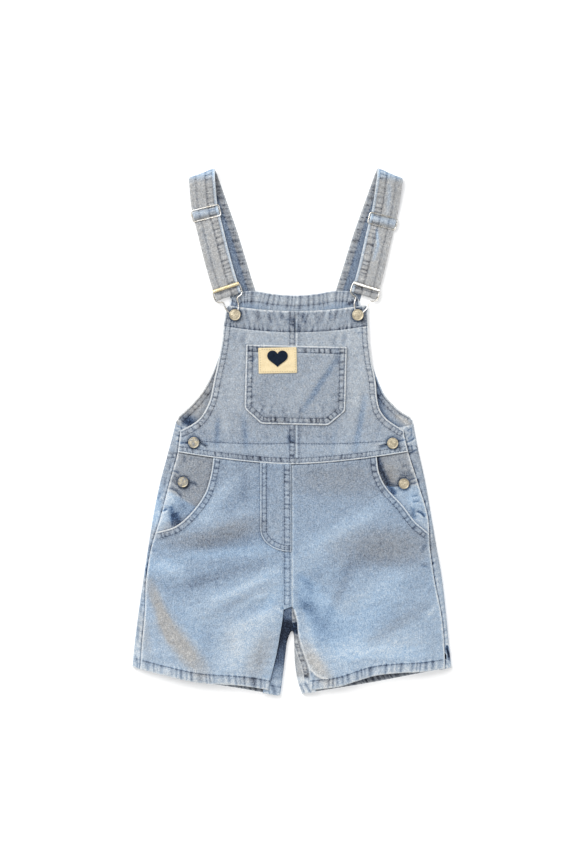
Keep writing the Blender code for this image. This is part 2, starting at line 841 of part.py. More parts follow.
def back_bib(shape):
    """The back bib with both of its buttoned underlaps."""
    corner_y, armhole_y = BACK_BIB_SIDE[0][0], BACK_BIB_SIDE[-1][0]
    low_y = BACK_WAIST_Y + SEAM_GAP / 2
    drop, slant = ARMHOLE_TURN
    folds, charts = {}, []
    for side, out in OUTWARD.items():

        def hidden(y):
            return SEAM[side](y) - out * underlap(y)

        inset = -out * FOLD_INSET
        lower = side_line(OUTLINE[side], armhole_y - ARMHOLE_CORNER, low_y, shift=inset)
        folds[side] = lower
        upper = lower.copy()
        upper[:, 1] -= drop * np.linspace(1, 0, len(upper)) ** 2
        square = outward_of(lower, (out, 0.0))
        add_roll(shape, lower, upper, square, back_bib_level, rolled_level)
        edge = side_line(hidden, upper[0, 1] - slant, low_y)
        charts.append(
            loop_of(
                upper,
                resampled([upper[-1], edge[-1]]),
                edge[::-1],
                resampled([edge[0], upper[0]]),
            )
        )
    top = curve_through(BACK_BIB_TOP)
    outline = loop_of(
        top,
        side_line(BACK_BIB["right"], corner_y, armhole_y),
        folds["right"],
        resampled([folds["right"][-1], folds["left"][-1]], 30.0),
        folds["left"][::-1],
        side_line(BACK_BIB["left"], armhole_y, corner_y),
    )
    add_chart(shape, outline, back_bib_level, CAD_STEP)
    for chart in charts:
        add_chart(shape, chart, rolled_level)


def with_vent(edge, side):
    """The rolled back's inner edge, cut in towards the fold at the hem vent."""
    top, bottom = VENT
    clear = EDGE_STEP / 2
    above, below = edge[edge[:, 1] > top + clear], edge[edge[:, 1] < bottom - clear]
    depth = OUTLINE[side](bottom) - OUTWARD[side] * VENT_DEPTH
    cut = [(above[-1, 0], top), (depth, bottom + clear), (depth, bottom), (below[0, 0], bottom)]
    return np.vstack([above, cut, below])


def notch_line(side):
    """The fold line round the crotch, from the centre seam down to the hem."""
    out = OUTWARD[side]
    arch_y = NOTCH_Y + FOLD_INSET
    arch = [(out * x, arch_y - drop) for x, drop in NOTCH_ARCH]

    def fold(y):
        return NOTCH_SIDE[side](y) + out * FOLD_INSET

    low_y = meet(fold, BACK_HEM[side], INSEAM_END_Y)
    return np.vstack([arch, side_line(fold, NOTCH[0][0], low_y)])


def back_leg(side):
    """A back leg: flat on the floor, rolled up at the side and round the crotch."""

    out = OUTWARD[side]
    middle = out * SEAM_GAP / 2
    top_y = BACK_WAIST_Y - SEAM_GAP / 2

    def fold(y):
        return OUTLINE[side](y) - out * FOLD_INSET

    def hidden(y):
        return SEAM[side](y) - out * underlap(y)

    def lap(y):
        return INSEAM[side](y) + out * SEAM_LAP

    def build(shape):
        outer = side_line(fold, top_y, meet(fold, BACK_HEM[side], HEM_Y))
        inner = notch_line(side)
        add_chart(
            shape,
            loop_of(
                resampled([(middle, top_y), outer[0]], 30.0),
                outer,
                level_line(BACK_HEM[side], outer[-1, 0], inner[-1, 0]),
                inner[::-1],
                resampled([inner[0], (middle, top_y)], 30.0),
            ),
            floor_level,
        )
        across = outward_of(outer, (out, 0.0))
        add_roll(shape, outer, outer, across, floor_level, rolled_level)
        edge = side_line(hidden, top_y, meet(hidden, BACK_HEM[side], HEM_Y))
        if side == "right":
            edge = with_vent(edge, side)
        add_chart(
            shape,
            loop_of(
                outer,
                level_line(BACK_HEM[side], outer[-1, 0], edge[-1, 0]),
                edge[::-1],
                resampled([edge[0], outer[0]]),
            ),
            rolled_level,
        )
        square = outward_of(inner, (-out, -0.4))
        square[:2] = (0.0, -1.0)
        add_roll(shape, inner, inner, square, floor_level, rolled_level)
        lapped = side_line(lap, meet(lap, BACK_HEM[side], INSEAM_END_Y), INSEAM_TOP_Y)
        add_chart(
            shape,
            loop_of(
                inner,
                level_line(BACK_HEM[side], inner[-1, 0], lapped[0, 0]),
                lapped,
                [(lapped[-1, 0], CROTCH_Y + SEAM_LAP)],
                [(middle, CROTCH_Y + SEAM_LAP)],
            ),
            rolled_level,
        )

    return build


# ------------------------------------------------------------ straps
class Strap:
    """The path of one strap: up the back, over the bend, and down to the buckle."""

    def __init__(self, side):
        self.places = STRAPS[side]
        self.inner = self.places["inner"]
        bend, slider, bar = (np.array(self.places[k]) for k in ("bend", "slider", "bar"))
        self.base, self.bend = np.array(self.places["base"]), bend
        button = np.array(self.places["button"])
        beyond = (button - bar) / np.linalg.norm(button - bar)
        slants = np.radians(self.places["slants"])
        downs = [np.array([math.sin(a), -math.cos(a)]) for a in slants] + [beyond]
        line = [bend]
        for (a, b), (da, db) in zip(((bend, slider), (slider, bar)), zip(downs, downs[1:])):
            length = np.linalg.norm(b - a)
            for t in np.linspace(0, 1, CURVE_ROWS + 1)[1:]:
                line.append(
                    a * (1 + 2 * t) * (1 - t) ** 2
                    + da * length * t * (1 - t) ** 2
                    + b * t * t * (3 - 2 * t)
                    + db * length * t * t * (t - 1)
                )
        line.append(bar + beyond * BELOW_BAR)
        self.line = np.array(line)
        steps = np.linalg.norm(np.diff(self.line, axis=0), axis=1)
        self.along = np.concatenate([[0], np.cumsum(steps)])
        self.slider_at = self.along[CURVE_ROWS]
        self.bar_at = self.along[2 * CURVE_ROWS]

    def front(self, s):
        """A point of the front part's middle line and the direction down it."""
        place = np.array([np.interp(s, self.along, self.line[:, i]) for i in (0, 1)])
        reach = STRAP_WIDTH / 8
        after = np.array([np.interp(s + reach, self.along, self.line[:, i]) for i in (0, 1)])
        before = np.array([np.interp(s - reach, self.along, self.line[:, i]) for i in (0, 1)])
        run = after - before
        return place, run / np.linalg.norm(run)

    def bend_radius(self, w):
        """The bend is a cone, tighter at the strap's outer edge."""
        share = 0.5 + self.inner * w / STRAP_WIDTH
        return BEND_RADIUS[0] + (BEND_RADIUS[1] - BEND_RADIUS[0]) * share

    def across(self, direction):
        """The direction across the strap, towards +X."""
        return np.array([-direction[1], direction[0]]) * np.sign(-direction[1])

    def rows(self):
        widths = np.linspace(-0.5, 0.5, STRAP_COLUMNS_ACROSS + 1) * STRAP_WIDTH
        up = (self.bend - self.base) / np.linalg.norm(self.bend - self.base)
        rows = []
        for t in np.linspace(0, 1, BACK_ROWS):
            place = self.base + (self.bend - self.base) * t
            rows.append([(*(place + self.across(-up) * w), FLOOR_LEVEL) for w in widths])
        _, down = self.front(STRAP_WIDTH / 8)
        first, last = self.across(-up), self.across(down)
        for k in range(1, BEND_FACETS + 1):
            a = math.pi * k / BEND_FACETS
            cross = first + (last - first) * k / BEND_FACETS
            cross /= np.linalg.norm(cross)
            ahead = np.array([-cross[1], cross[0]])
            row = []
            for w in widths:
                radius = self.bend_radius(w)
                plan = self.bend + cross * w + ahead * radius * math.sin(a)
                row.append((*plan, FLOOR_LEVEL + radius * (1 - math.cos(a))))
            rows.append(row)
        for s, z, bent in self.front_profile():
            place, direction = self.front(s)
            cross = self.across(direction)
            rows.append(
                [
                    (
                        *(place + cross * w),
                        z + bent * (FLOOR_LEVEL + 2 * self.bend_radius(w) - z),
                    )
                    for w in widths
                ]
            )
        return rows

    def front_profile(self):
        """(distance from the bend, height, share of the bend's height) down the front,
        through the slider, round the buckle's bar, and back up to the slider's bar."""
        wrap = WIRE_RADIUS + SEAM_GAP + CLOTH / 2
        hook = SLIDER_BAR_RADIUS + SEAM_GAP + CLOTH / 2
        passed, below = SLIDER_LEVEL - wrap, BUCKLE_LEVEL - wrap
        slider, bar = self.slider_at, self.bar_at
        start = slider - OVER_SLIDER[0][0]
        settling = [(t * start, passed, 1 - float(smoothstep(t))) for t in np.linspace(0, 1, 8)]
        flat = [(slider - v, passed + z) for v, z in OVER_SLIDER[1:]]
        flat += [(slider + v, passed + z) for v, z in reversed(OVER_SLIDER[:-1])]
        end, next_start = flat[-1][0], bar + OVER_BUCKLE[0][0]
        for t in (0.25, 0.5, 0.75):
            flat.append((end + (next_start - end) * t, passed + (below - passed) * t))
        flat += [(bar + v, below + z) for v, z in OVER_BUCKLE]
        for a in np.linspace(math.pi / 2, -math.pi / 2, 7):
            around = bar + CROSSBAR_AT + wrap * math.cos(a)
            flat.append((around, BUCKLE_LEVEL + wrap * math.sin(a)))
        flat += [(bar + v, below + z) for v, z in BEHIND_BUCKLE]
        flat += [(slider + v, passed + z) for v, z in BEHIND_SLIDER]
        for a in np.linspace(-math.pi / 2, -3 * math.pi / 2, 7):
            flat.append((slider + hook * math.cos(a), SLIDER_LEVEL + hook * math.sin(a)))
        return settling[1:] + [(s, z, 0.0) for s, z in flat]


def placed_on_strap(strap, at, local, level):
    """Points given across and along the strap, placed at a distance down it."""
    place, direction = strap.front(at)
    cross = strap.across(direction)
    return [(*(place + cross * u + direction * v), z + level) for u, v, z in local]


def slider(name, strap, look, collection, helpers):
    """A wire frame with a bar across its middle."""
    w, h = SLIDER_SIZE[0] / 2, SLIDER_SIZE[1] / 2
    loop = []
    for cx, cy, turn in ((w, h, 0), (-w, h, 90), (-w, -h, 180), (w, -h, 270)):
        for a in np.radians(np.linspace(turn, turn + 90, 5)):
            x = cx - math.copysign(SLIDER_CORNER, cx) + SLIDER_CORNER * math.cos(a)
            y = cy - math.copysign(SLIDER_CORNER, cy) + SLIDER_CORNER * math.sin(a)
            loop.append((x, y, 0.0))
    bar = [(-w, 0.0, 0.0), (w, 0.0, 0.0)]
    return wire_with_bar(
        name,
        placed_on_strap(strap, strap.slider_at, loop, SLIDER_LEVEL),
        placed_on_strap(strap, strap.slider_at, bar, SLIDER_LEVEL),
        SLIDER_BAR_RADIUS,
        look,
        collection,
        helpers,
    )


def buckle(name, strap, look, collection, helpers):
    """A keyhole of wire: a wide end for the strap, and a neck round the button."""
    half = [(u, v, 0.0) for u, v in BUCKLE_HALF]
    loop = half[:-1] + [(-u, v, z) for u, v, z in reversed(half[1:])]
    slope = (BUCKLE_NECK_LEVEL - BUCKLE_LEVEL) / BUCKLE_HALF[-1][1]
    loop = [(u, v, slope * v) for u, v, _ in loop]
    w = max(u for u, _ in BUCKLE_HALF)
    bar = [(-w, CROSSBAR_AT, slope * CROSSBAR_AT), (w, CROSSBAR_AT, slope * CROSSBAR_AT)]
    return wire_with_bar(
        name,
        placed_on_strap(strap, strap.bar_at, loop, BUCKLE_LEVEL),
        placed_on_strap(strap, strap.bar_at, bar, BUCKLE_LEVEL),
        CROSSBAR_RADIUS,
        look,
        collection,
        helpers,
    )


def button(name, place, cloth_level, foot, look, collection):
    """A jeans button: a domed cap on a short neck, turned as one piece."""
    profile = [(r, foot + h) for r, h in BUTTON_CAP]
    profile += [(BUTTON_NECK_RADIUS, foot + BUTTON_CAP[-1][1]), (BUTTON_NECK_RADIUS, 0.0), (0.0, 0.0)]
    mesh = bpy.data.meshes.new(name)
    mesh.from_pydata(
        [(r * MM, 0.0, h * MM) for r, h in profile],
        [(i, i + 1) for i in range(len(profile) - 1)],
        [],
    )
    made = new_object(name, mesh, look, collection)
    foot_level = cloth_level(*place) + CLOTH / 2 + SEAM_GAP
    made.location = Vector((*place, foot_level)) * MM
    turn = made.modifiers.new("turn", "SCREW")
    turn.steps = turn.render_steps = BUTTON_STEPS
    turn.use_merge_vertices = True
    turn.merge_threshold = 0.00001
    turn.use_normal_calculate = True
    return made


def main():
    for old in list(bpy.data.objects):
        bpy.data.objects.remove(old)
    parts = bpy.data.collections.new("shortalls")
    helpers = bpy.data.collections.new("joined_rods")
    for made in (parts, helpers):
        bpy.context.scene.collection.children.link(made)
    denim = material("denim", (0.36, 0.45, 0.56), 0.9)
    strap_denim = material("strap_denim", (0.48, 0.51, 0.54), 0.9)
    leather = material("patch_leather", (0.88, 0.71, 0.45), 0.6)
    navy = material("heart_navy", (0.012, 0.024, 0.045), 0.7)
    metal = material("metal", (0.62, 0.58, 0.5), 0.35, 1.0)

    def lay(name, outline, height, look=denim, step=CAD_STEP, thickness=CLOTH):
        return cloth(
            name, look, parts, lambda shape: add_chart(shape, outline, height, step), thickness
        )

    for side in ("left", "right"):
        lay("front_bib_" + side, front_bib(side), front_bib_level)
        lay("front_leg_" + side, front_leg(side), front_leg_level)
        lay("hip_panel_" + side, hip_panel(side), hip_level)
        cloth("back_leg_" + side, denim, parts, back_leg(side))
        strap = Strap(side)
        cloth(
            "strap_" + side, strap_denim, parts, lambda shape, s=strap: add_ribbon(shape, s.rows())
        )
        slider("slider_" + side, strap, metal, parts, helpers)
        buckle("buckle_" + side, strap, metal, parts, helpers)
        place = STRAPS[side]["button"]
        button("bib_button_" + side, place, front_bib_level, BIB_BUTTON_FOOT, metal, parts)
    cloth("back_bib", denim, parts, back_bib)
    lay("fly_facing", fly(), fly_level)
    lay("bib_pocket", bib_pocket(), bib_pocket_level)
    lay("bib_patch", patch(), patch_level, leather)
    lay("patch_heart", heart(), heart_level, navy, HEART_STEP, HEART_THICKNESS)
    for name, place in SIDE_BUTTONS.items():
        under = front_bib_level if name.startswith("waist") else hip_level
        button(name, place, under, SIDE_BUTTON_FOOT, metal, parts)


main()
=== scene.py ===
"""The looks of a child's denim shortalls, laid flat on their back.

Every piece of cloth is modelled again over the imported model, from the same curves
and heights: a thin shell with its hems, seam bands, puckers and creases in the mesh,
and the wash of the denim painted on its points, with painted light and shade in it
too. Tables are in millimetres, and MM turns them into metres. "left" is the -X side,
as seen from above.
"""

import math

import bmesh
import bpy
import numpy as np
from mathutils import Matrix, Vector
from mathutils.geometry import delaunay_2d_cdt


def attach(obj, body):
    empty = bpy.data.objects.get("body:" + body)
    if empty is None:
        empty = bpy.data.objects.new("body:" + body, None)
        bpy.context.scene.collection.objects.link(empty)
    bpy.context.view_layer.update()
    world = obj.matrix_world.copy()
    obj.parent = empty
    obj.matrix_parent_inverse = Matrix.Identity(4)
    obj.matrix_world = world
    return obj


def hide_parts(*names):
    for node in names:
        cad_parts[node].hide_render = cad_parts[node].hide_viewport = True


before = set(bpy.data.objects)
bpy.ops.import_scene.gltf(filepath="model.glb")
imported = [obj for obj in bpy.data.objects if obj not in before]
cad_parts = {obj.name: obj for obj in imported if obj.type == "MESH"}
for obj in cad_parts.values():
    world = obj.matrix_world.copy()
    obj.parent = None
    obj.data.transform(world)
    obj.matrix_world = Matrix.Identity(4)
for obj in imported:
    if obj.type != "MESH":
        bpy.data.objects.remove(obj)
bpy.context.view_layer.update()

MM = 0.001
ROOT = "root"

# ---------------------------------------------------------------- cloth and gaps
CLOTH = 1.2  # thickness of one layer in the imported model
SEAM_GAP = 0.3
LAYER = CLOTH + SEAM_GAP
FLOOR_LEVEL = CLOTH / 2
WALL = 1.1  # thickness of one layer as shown
RIM = 0.42  # how far a wall's rounded rim stands out
EDGE = 1.25  # spacing of the points along an edge or seam
GRID = 1.55  # and inside a piece
COARSE = 4.5  # the same where nobody sees it
EDGE_CLEAR = 0.45  # room that other points leave round those of an edge
GRID_CLEAR = 0.62 * GRID
CURVE_POINTS = 400  # of a curve before it is spaced evenly

# ------------------------------------------------------------------ the body
BODY = (
    # y, left outline, left seam, right seam, right outline
    (14.4, -139.2, -132.0, 130.8, 145.2),
    (-4.8, -143.4, -133.7, 133.8, 148.2),
    (-24.0, -148.2, -136.2, 138.5, 151.8),
    (-62.4, -158.4, -146.6, 150.7, 160.2),
    (-100.8, -166.2, -156.6, 162.0, 166.8),
    (-139.2, -172.4, -168.0, 164.4, 173.4),
    (-177.6, -178.2, -174.0, 170.0, 180.0),
    (-216.0, -183.8, -175.6, 177.6, 184.4),
    (-254.4, -188.6, -179.0, 181.6, 188.2),
    (-290.0, -192.0, -181.6, 182.4, 192.0),
)
FRONT_BIB_SIDE = (
    # y, left edge, right edge
    (148.5, -78.6, 90.6), (126.0, -81.6, 91.4), (104.4, -84.2, 92.6), (82.8, -88.4, 95.5),
    (61.2, -93.1, 99.6), (39.6, -97.6, 101.6), (25.2, -103.8, 105.4), (14.4, -111.6, 114.0),
    (7.2, -121.6, 124.0), (1.2, -133.4, 133.4),
)
BACK_BIB_SIDE = (
    # y, left edge, right edge
    (159.0, -73.2, 79.8), (122.4, -79.2, 86.4), (84.0, -89.6, 94.8), (57.0, -101.8, 104.6),
    (43.9, -110.4, 111.2), (32.4, -120.6, 121.4), (23.5, -130.0, 131.6), (17.8, -136.0, 141.6),
)
BACK_BIB_TOP = (
    # x, y
    (-73.2, 159.0), (-69.5, 164.6), (-61.0, 167.6), (-46.0, 168.4), (-22.0, 165.0),
    (4.0, 163.2), (30.0, 165.2), (54.0, 168.8), (68.0, 168.2), (76.2, 164.6), (79.8, 159.0),
)
BACK_WAIST_Y = -24.0
BACK_BIB_RISE = (120.0, 136.0)  # the y where the back bib rises a layer, over the straps
FRONT_BIB_TOP_Y = 144.4
FRONT_BIB_TOP_RISE = 6.2
FRONT_BIB_TOP_REACH = 76.0
BIB_CORNER = 3.0
BIB_CENTRE_X = 4.4
WAIST_Y = -38.0
WAIST_RISE = 14.5
WAIST_REACH = 137.0
WAIST_BEND = 1.6
WAIST_LAP = 8.0
BIB_SETTLE = 36.0
CROWN_WIDENS_Y = 4.0  # below it the crown goes over to the body's outline
CROTCH_Y = -208.0
INSEAM_TABLE = {
    # y, x of the front's inner edge
    "left": (
        (-212.0, -10.4), (-225.0, -11.8), (-240.0, -14.4), (-260.0, -17.8), (-277.0, -21.5),
        (-291.0, -25.0), (-308.0, -28.4),
    ),
    "right": (
        (-212.0, 2.6), (-225.0, 6.2), (-240.0, 7.6), (-256.0, 11.2), (-270.0, 16.0),
        (-282.0, 20.0), (-309.0, 22.6),
    ),
}
INSEAM_TOP_Y = -212.0
INSEAM_END_Y = -307.0
HEM_Y = -283.0
NOTCH_Y = -239.0
NOTCH = (
    # y, left leg, right leg
    (-243.0, -3.4, 2.2), (-252.0, -6.0, 2.6), (-262.0, -7.4, 2.8), (-281.0, -9.6, 4.0),
    (-300.0, -12.0, 7.4), (-314.0, -14.0, 12.6),
)
NOTCH_ARCH = ((SEAM_GAP / 2, 0.0), (1.5, 0.0), (3.8, 1.6))
FRONT_HEM_TABLE = {
    # x, y
    "left": (
        (-190.0, -281.0), (-160.0, -288.6), (-133.0, -295.0), (-107.0, -299.6), (-86.0, -301.0),
        (-66.0, -302.2), (-46.0, -304.6), (-28.0, -308.0),
    ),
    "right": (
        (22.0, -308.2), (38.0, -306.4), (56.0, -303.8), (78.0, -296.8), (98.0, -290.8),
        (131.0, -287.2), (152.0, -286.4), (190.0, -281.6),
    ),
}
BACK_HEM_TABLE = {
    "left": (
        (-192.0, -280.6), (-160.0, -288.4), (-107.0, -300.0), (-66.0, -306.4), (-33.0, -312.2),
        (-14.0, -315.6),
    ),
    "right": (
        (12.0, -313.6), (38.0, -309.4), (91.0, -300.6), (145.0, -290.4), (192.0, -281.4),
    ),
}

# ------------------------------------------------------------ rolled edges
ROLL_BULGE = 2.6  # how far a roll stands out past its fold line
FOLD_INSET = ROLL_BULGE + CLOTH / 2
ROLL_FACETS = 12
SEAM_LAP = 6.0  # how far a sewn edge reaches under its neighbour
UNDERLAP = ((20.0, 26.0), (-90.0, 26.0), (-128.0, SEAM_LAP), (-320.0, SEAM_LAP))  # y, width
ROLL_LEVEL = ((20.0, -1.0), (-138.0, -1.0), (-158.0, -0.15), (-320.0, -0.15))  # y, layers
ARMHOLE_TURN = (7.0, 6.0)  # drop of the rolled edge's top at the fold, and again inside
ARMHOLE_CORNER = 3.0
VENT = (-254.0, -272.0)
VENT_DEPTH = 5.0  # what the vent leaves of the rolled edge
VENT_CORNER = 5.5

# -------------------------------------------------- how high the front lies
LOFT = (
    # y, height at the outline, rise inside it
    (150.0, 3.9, 0.5), (100.0, 3.9, 1.8), (50.0, 4.2, 3.2), (20.0, 4.8, 3.8),
    (0.0, 5.6, 4.0), (-60.0, 5.6, 5.0), (-140.0, 5.6, 7.0), (-220.0, 5.6, 7.6),
    (-315.0, 5.6, 6.0),
)
CROWN_REACH = 26.0
CROWN_BLEND = 9.0
CREASE_REACH = 4.0  # how far from an edge the creases have their full height
FOLDS = (
    # x0, y0, x1, y1, half width, height: the largest folds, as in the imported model
    (-20.0, -206.0, -92.0, -160.0, 22.0, -1.3),
    (-170.0, -200.0, -120.0, -290.0, 24.0, 1.6),
    (26.0, -212.0, 76.0, -262.0, 24.0, -1.6),
    (30.0, -176.0, 132.0, -104.0, 24.0, 1.2),
    (70.0, -232.0, 150.0, -166.0, 24.0, 1.2),
)
CREASES = (
    # the same for the smaller creases, which are only here
    (-147.6, -71.0, -145.0, -90.0, 5.5, 1.7),
    (-152.4, -97.0, -157.0, -114.0, 5.0, 1.6),
    (-157.5, -92.6, -147.4, -91.6, 1.7, -1.5),
    (-142.6, -86.0, -138.4, -111.0, 4.0, -1.5),
    (-18.0, -180.0, -60.0, -206.0, 8.0, 0.9),
    (-12.0, -196.0, -66.0, -224.0, 7.0, -0.9),
    (-16.0, -214.0, -78.0, -236.0, 8.0, 0.8),
    (-20.0, -168.0, -120.0, -222.0, 10.0, 0.9),
    (-60.0, -150.0, -140.0, -196.0, 11.0, -0.8),
    (-36.0, -128.0, -116.0, -140.0, 12.0, -0.9),
    (-50.0, -96.0, -118.0, -118.0, 14.0, 0.8),
    (-46.0, -60.0, -84.0, -104.0, 9.0, -0.6),
    (-156.0, -158.0, -128.0, -170.0, 8.0, 0.7),
    (-168.0, -176.0, -140.0, -190.0, 6.0, -0.8),
    (-60.0, -232.0, -70.0, -276.0, 12.0, 0.9),
    (-98.0, -236.0, -104.0, -284.0, 10.0, -0.9),
    (-34.0, -250.0, -40.0, -290.0, 6.0, -0.7),
    (6.0, -182.0, 58.0, -212.0, 7.0, 0.9),
    (6.0, -196.0, 50.0, -244.0, 7.0, -1.0),
    (14.0, -226.0, 34.0, -280.0, 7.0, 0.9),
    (8.0, -160.0, 90.0, -104.0, 11.0, 0.9),
    (20.0, -186.0, 112.0, -134.0, 12.0, -0.8),
    (60.0, -208.0, 160.0, -152.0, 11.0, 0.7),
    (44.0, -246.0, 128.0, -214.0, 11.0, -0.8),
    (60.0, -268.0, 150.0, -246.0, 10.0, 0.8),
    (150.0, -96.0, 163.0, -100.0, 2.6, -0.9),
    (146.0, -104.0, 160.0, -110.0, 3.2, 0.9),
    (154.0, -134.0, 168.0, -140.0, 3.5, -0.7),
    (-89.0, 19.0, -90.0, -16.0, 3.5, -0.8),
    (-80.0, 22.0, -78.0, -8.0, 4.0, 0.5),
    (-58.0, 10.0, -56.0, -24.0, 4.0, -0.8),
    (53.0, 86.0, 12.0, 24.0, 4.0, -0.7),
    (40.0, 82.0, 2.0, 34.0, 7.0, 0.6),
    (88.0, 50.0, 74.0, -16.0, 5.0, -0.7),
    (80.0, 46.0, 68.0, -10.0, 5.0, 0.5),
    (-64.0, 120.0, -66.0, 96.0, 5.0, -0.6),
    (-76.0, 80.0, -82.0, 40.0, 6.0, -0.5),
    (-30.0, 60.0, -38.0, 20.0, 7.0, -0.5),
    (38.0, 8.0, 44.0, -22.0, 6.0, -0.5),
    (-110.0, 6.0, -98.0, -14.0, 4.0, -0.6),
    (104.0, 6.0, 96.0, -14.0, 4.0, -0.6),
)
ZONES = (
    # x0, y0, x1, y1, half width, change of wash, of greyness: painted light and shade, and fades
    (-72.0, -57.6, -104.4, -99.6, 8.4, 0.09, -0.05),
    (-148.8, -129.6, -103.2, -128.4, 10.8, -0.07, 0.3),
    (-103.2, -128.4, -44.4, -110.4, 13.2, -0.1, 0.4),
    (-58.8, -48.0, -54.0, -87.6, 4.8, -0.05, 0.0),
    (-172.8, -160.8, -134.4, -158.4, 8.4, 0.07, -0.2),
    (-122.4, -148.8, -19.2, -138.0, 6.0, 0.07, -0.15),
    (-36.0, -156.0, -122.4, -183.6, 6.6, -0.07, 0.12),
    (-18.0, -165.6, -93.6, -200.4, 4.8, 0.08, -0.1),
    (-26.4, -181.2, -93.6, -217.2, 4.8, -0.08, 0.12),
    (-14.4, -187.2, -36.0, -213.6, 6.0, 0.06, -0.2),
    (-19.2, -201.6, -67.2, -267.6, 21.6, 0.07, -0.05),
    (-140.4, -183.6, -104.4, -175.2, 9.6, -0.04, 0.05),
    (-132.0, -216.0, -104.4, -249.6, 10.8, -0.02, -0.1),
    (-171.0, -180.0, -143.0, -246.0, 7.4, -0.01, 0.75),
    (-152.0, -228.0, -108.0, -286.0, 12.0, -0.02, 0.8),
    (-180.0, -220.8, -172.8, -267.6, 7.2, -0.02, 0.3),
    (-28.0, -244.0, -50.0, -292.0, 13.0, -0.03, 0.45),
    (-72.0, -231.6, -72.0, -261.6, 9.6, 0.0, 0.15),
    (111.6, -84.0, 15.6, -139.2, 8.4, 0.07, -0.1),
    (9.6, -57.6, 111.6, -55.2, 19.2, -0.04, 0.25),
    (63.6, -139.2, 163.2, -135.6, 22.8, -0.07, 0.45),
    (81.6, -153.6, 159.6, -156.0, 6.0, -0.04, 0.0),
    (72.0, -160.8, 36.0, -235.2, 6.0, -0.08, 0.1),
    (60.0, -153.6, 31.2, -184.8, 4.8, 0.06, 0.0),
    (120.0, -183.6, 55.2, -261.6, 18.0, 0.06, -0.2),
    (111.6, -201.6, 72.0, -216.0, 4.2, -0.05, 0.05),
    (159.6, -206.4, 91.2, -252.0, 6.6, -0.06, 0.15),
    (175.2, -201.6, 159.6, -225.6, 3.0, 0.09, 0.0),
    (10.8, -206.4, 20.4, -208.8, 5.4, -0.14, -0.2),
    (9.6, -171.6, 26.4, -192.0, 4.8, -0.08, -0.3),
    (16.8, -189.6, 33.6, -249.6, 8.4, -0.05, -0.3),
    (19.2, -189.6, 69.6, -259.2, 15.6, 0.0, -0.42),
    (63.6, -259.2, 153.6, -264.0, 8.4, 0.05, -0.3),
    (12.0, -255.6, 43.2, -297.6, 9.6, 0.02, 0.75),
    (19.2, -288.0, 20.4, -290.4, 4.8, -0.2, 0.3),
    (51.6, 84.0, 13.2, 26.4, 3.4, -0.07, -0.3),
    (87.6, 42.0, 75.6, -21.6, 3.6, -0.06, -0.3),
    (54.0, 14.4, 48.0, -28.8, 3.0, -0.04, -0.1),
    (-88.8, 14.4, -90.0, -16.8, 3.0, -0.06, -0.25),
    (-58.8, 21.6, -54.0, -21.6, 3.4, -0.05, -0.2),
    (-79.2, 16.8, -74.4, -14.4, 3.6, 0.04, 0.0),
    (-50.4, 104.4, -46.8, 91.2, 4.8, -0.16, 0.0),
    (52.8, 103.2, 55.2, 84.0, 4.2, -0.13, -0.1),
    (-36.0, 14.4, -7.2, 13.2, 3.6, -0.1, 0.1),
    (15.6, 13.2, 39.6, 13.2, 3.6, -0.04, 0.1),
    (-2.4, 0.0, -2.4, -18.0, 4.2, -0.1, -0.1),
    (-1.2, 133.2, 6.0, 123.6, 4.8, -0.16, -0.1),
    (-92.4, -26.4, 9.6, -36.0, 3.1, -0.06, 0.05),
    (43.2, -32.4, 91.2, -27.6, 3.6, -0.1, 0.05),
    (-67.2, -28.8, -36.0, -32.4, 3.1, -0.08, 0.0),
    (55.2, -9.6, 62.4, -19.2, 4.8, 0.04, 0.0),
    (96.0, -16.8, 105.6, -13.2, 6.0, 0.05, 0.1),
    (123.6, -12.0, 127.2, -21.6, 4.8, -0.05, 0.0),
    (-158.4, -64.8, -168.0, -112.8, 6.0, 0.08, -0.4),
    (139.2, -73.2, 150.0, -88.8, 8.0, 0.04, -0.2),
    (-164.4, -123.0, -124.8, -103.8, 6.5, 0.0, 0.4),
    (112.8, -45.6, 117.6, -57.6, 8.4, -0.04, 0.1),
    (-160.8, -87.6, -163.2, -105.6, 4.8, 0.06, -0.3),
)
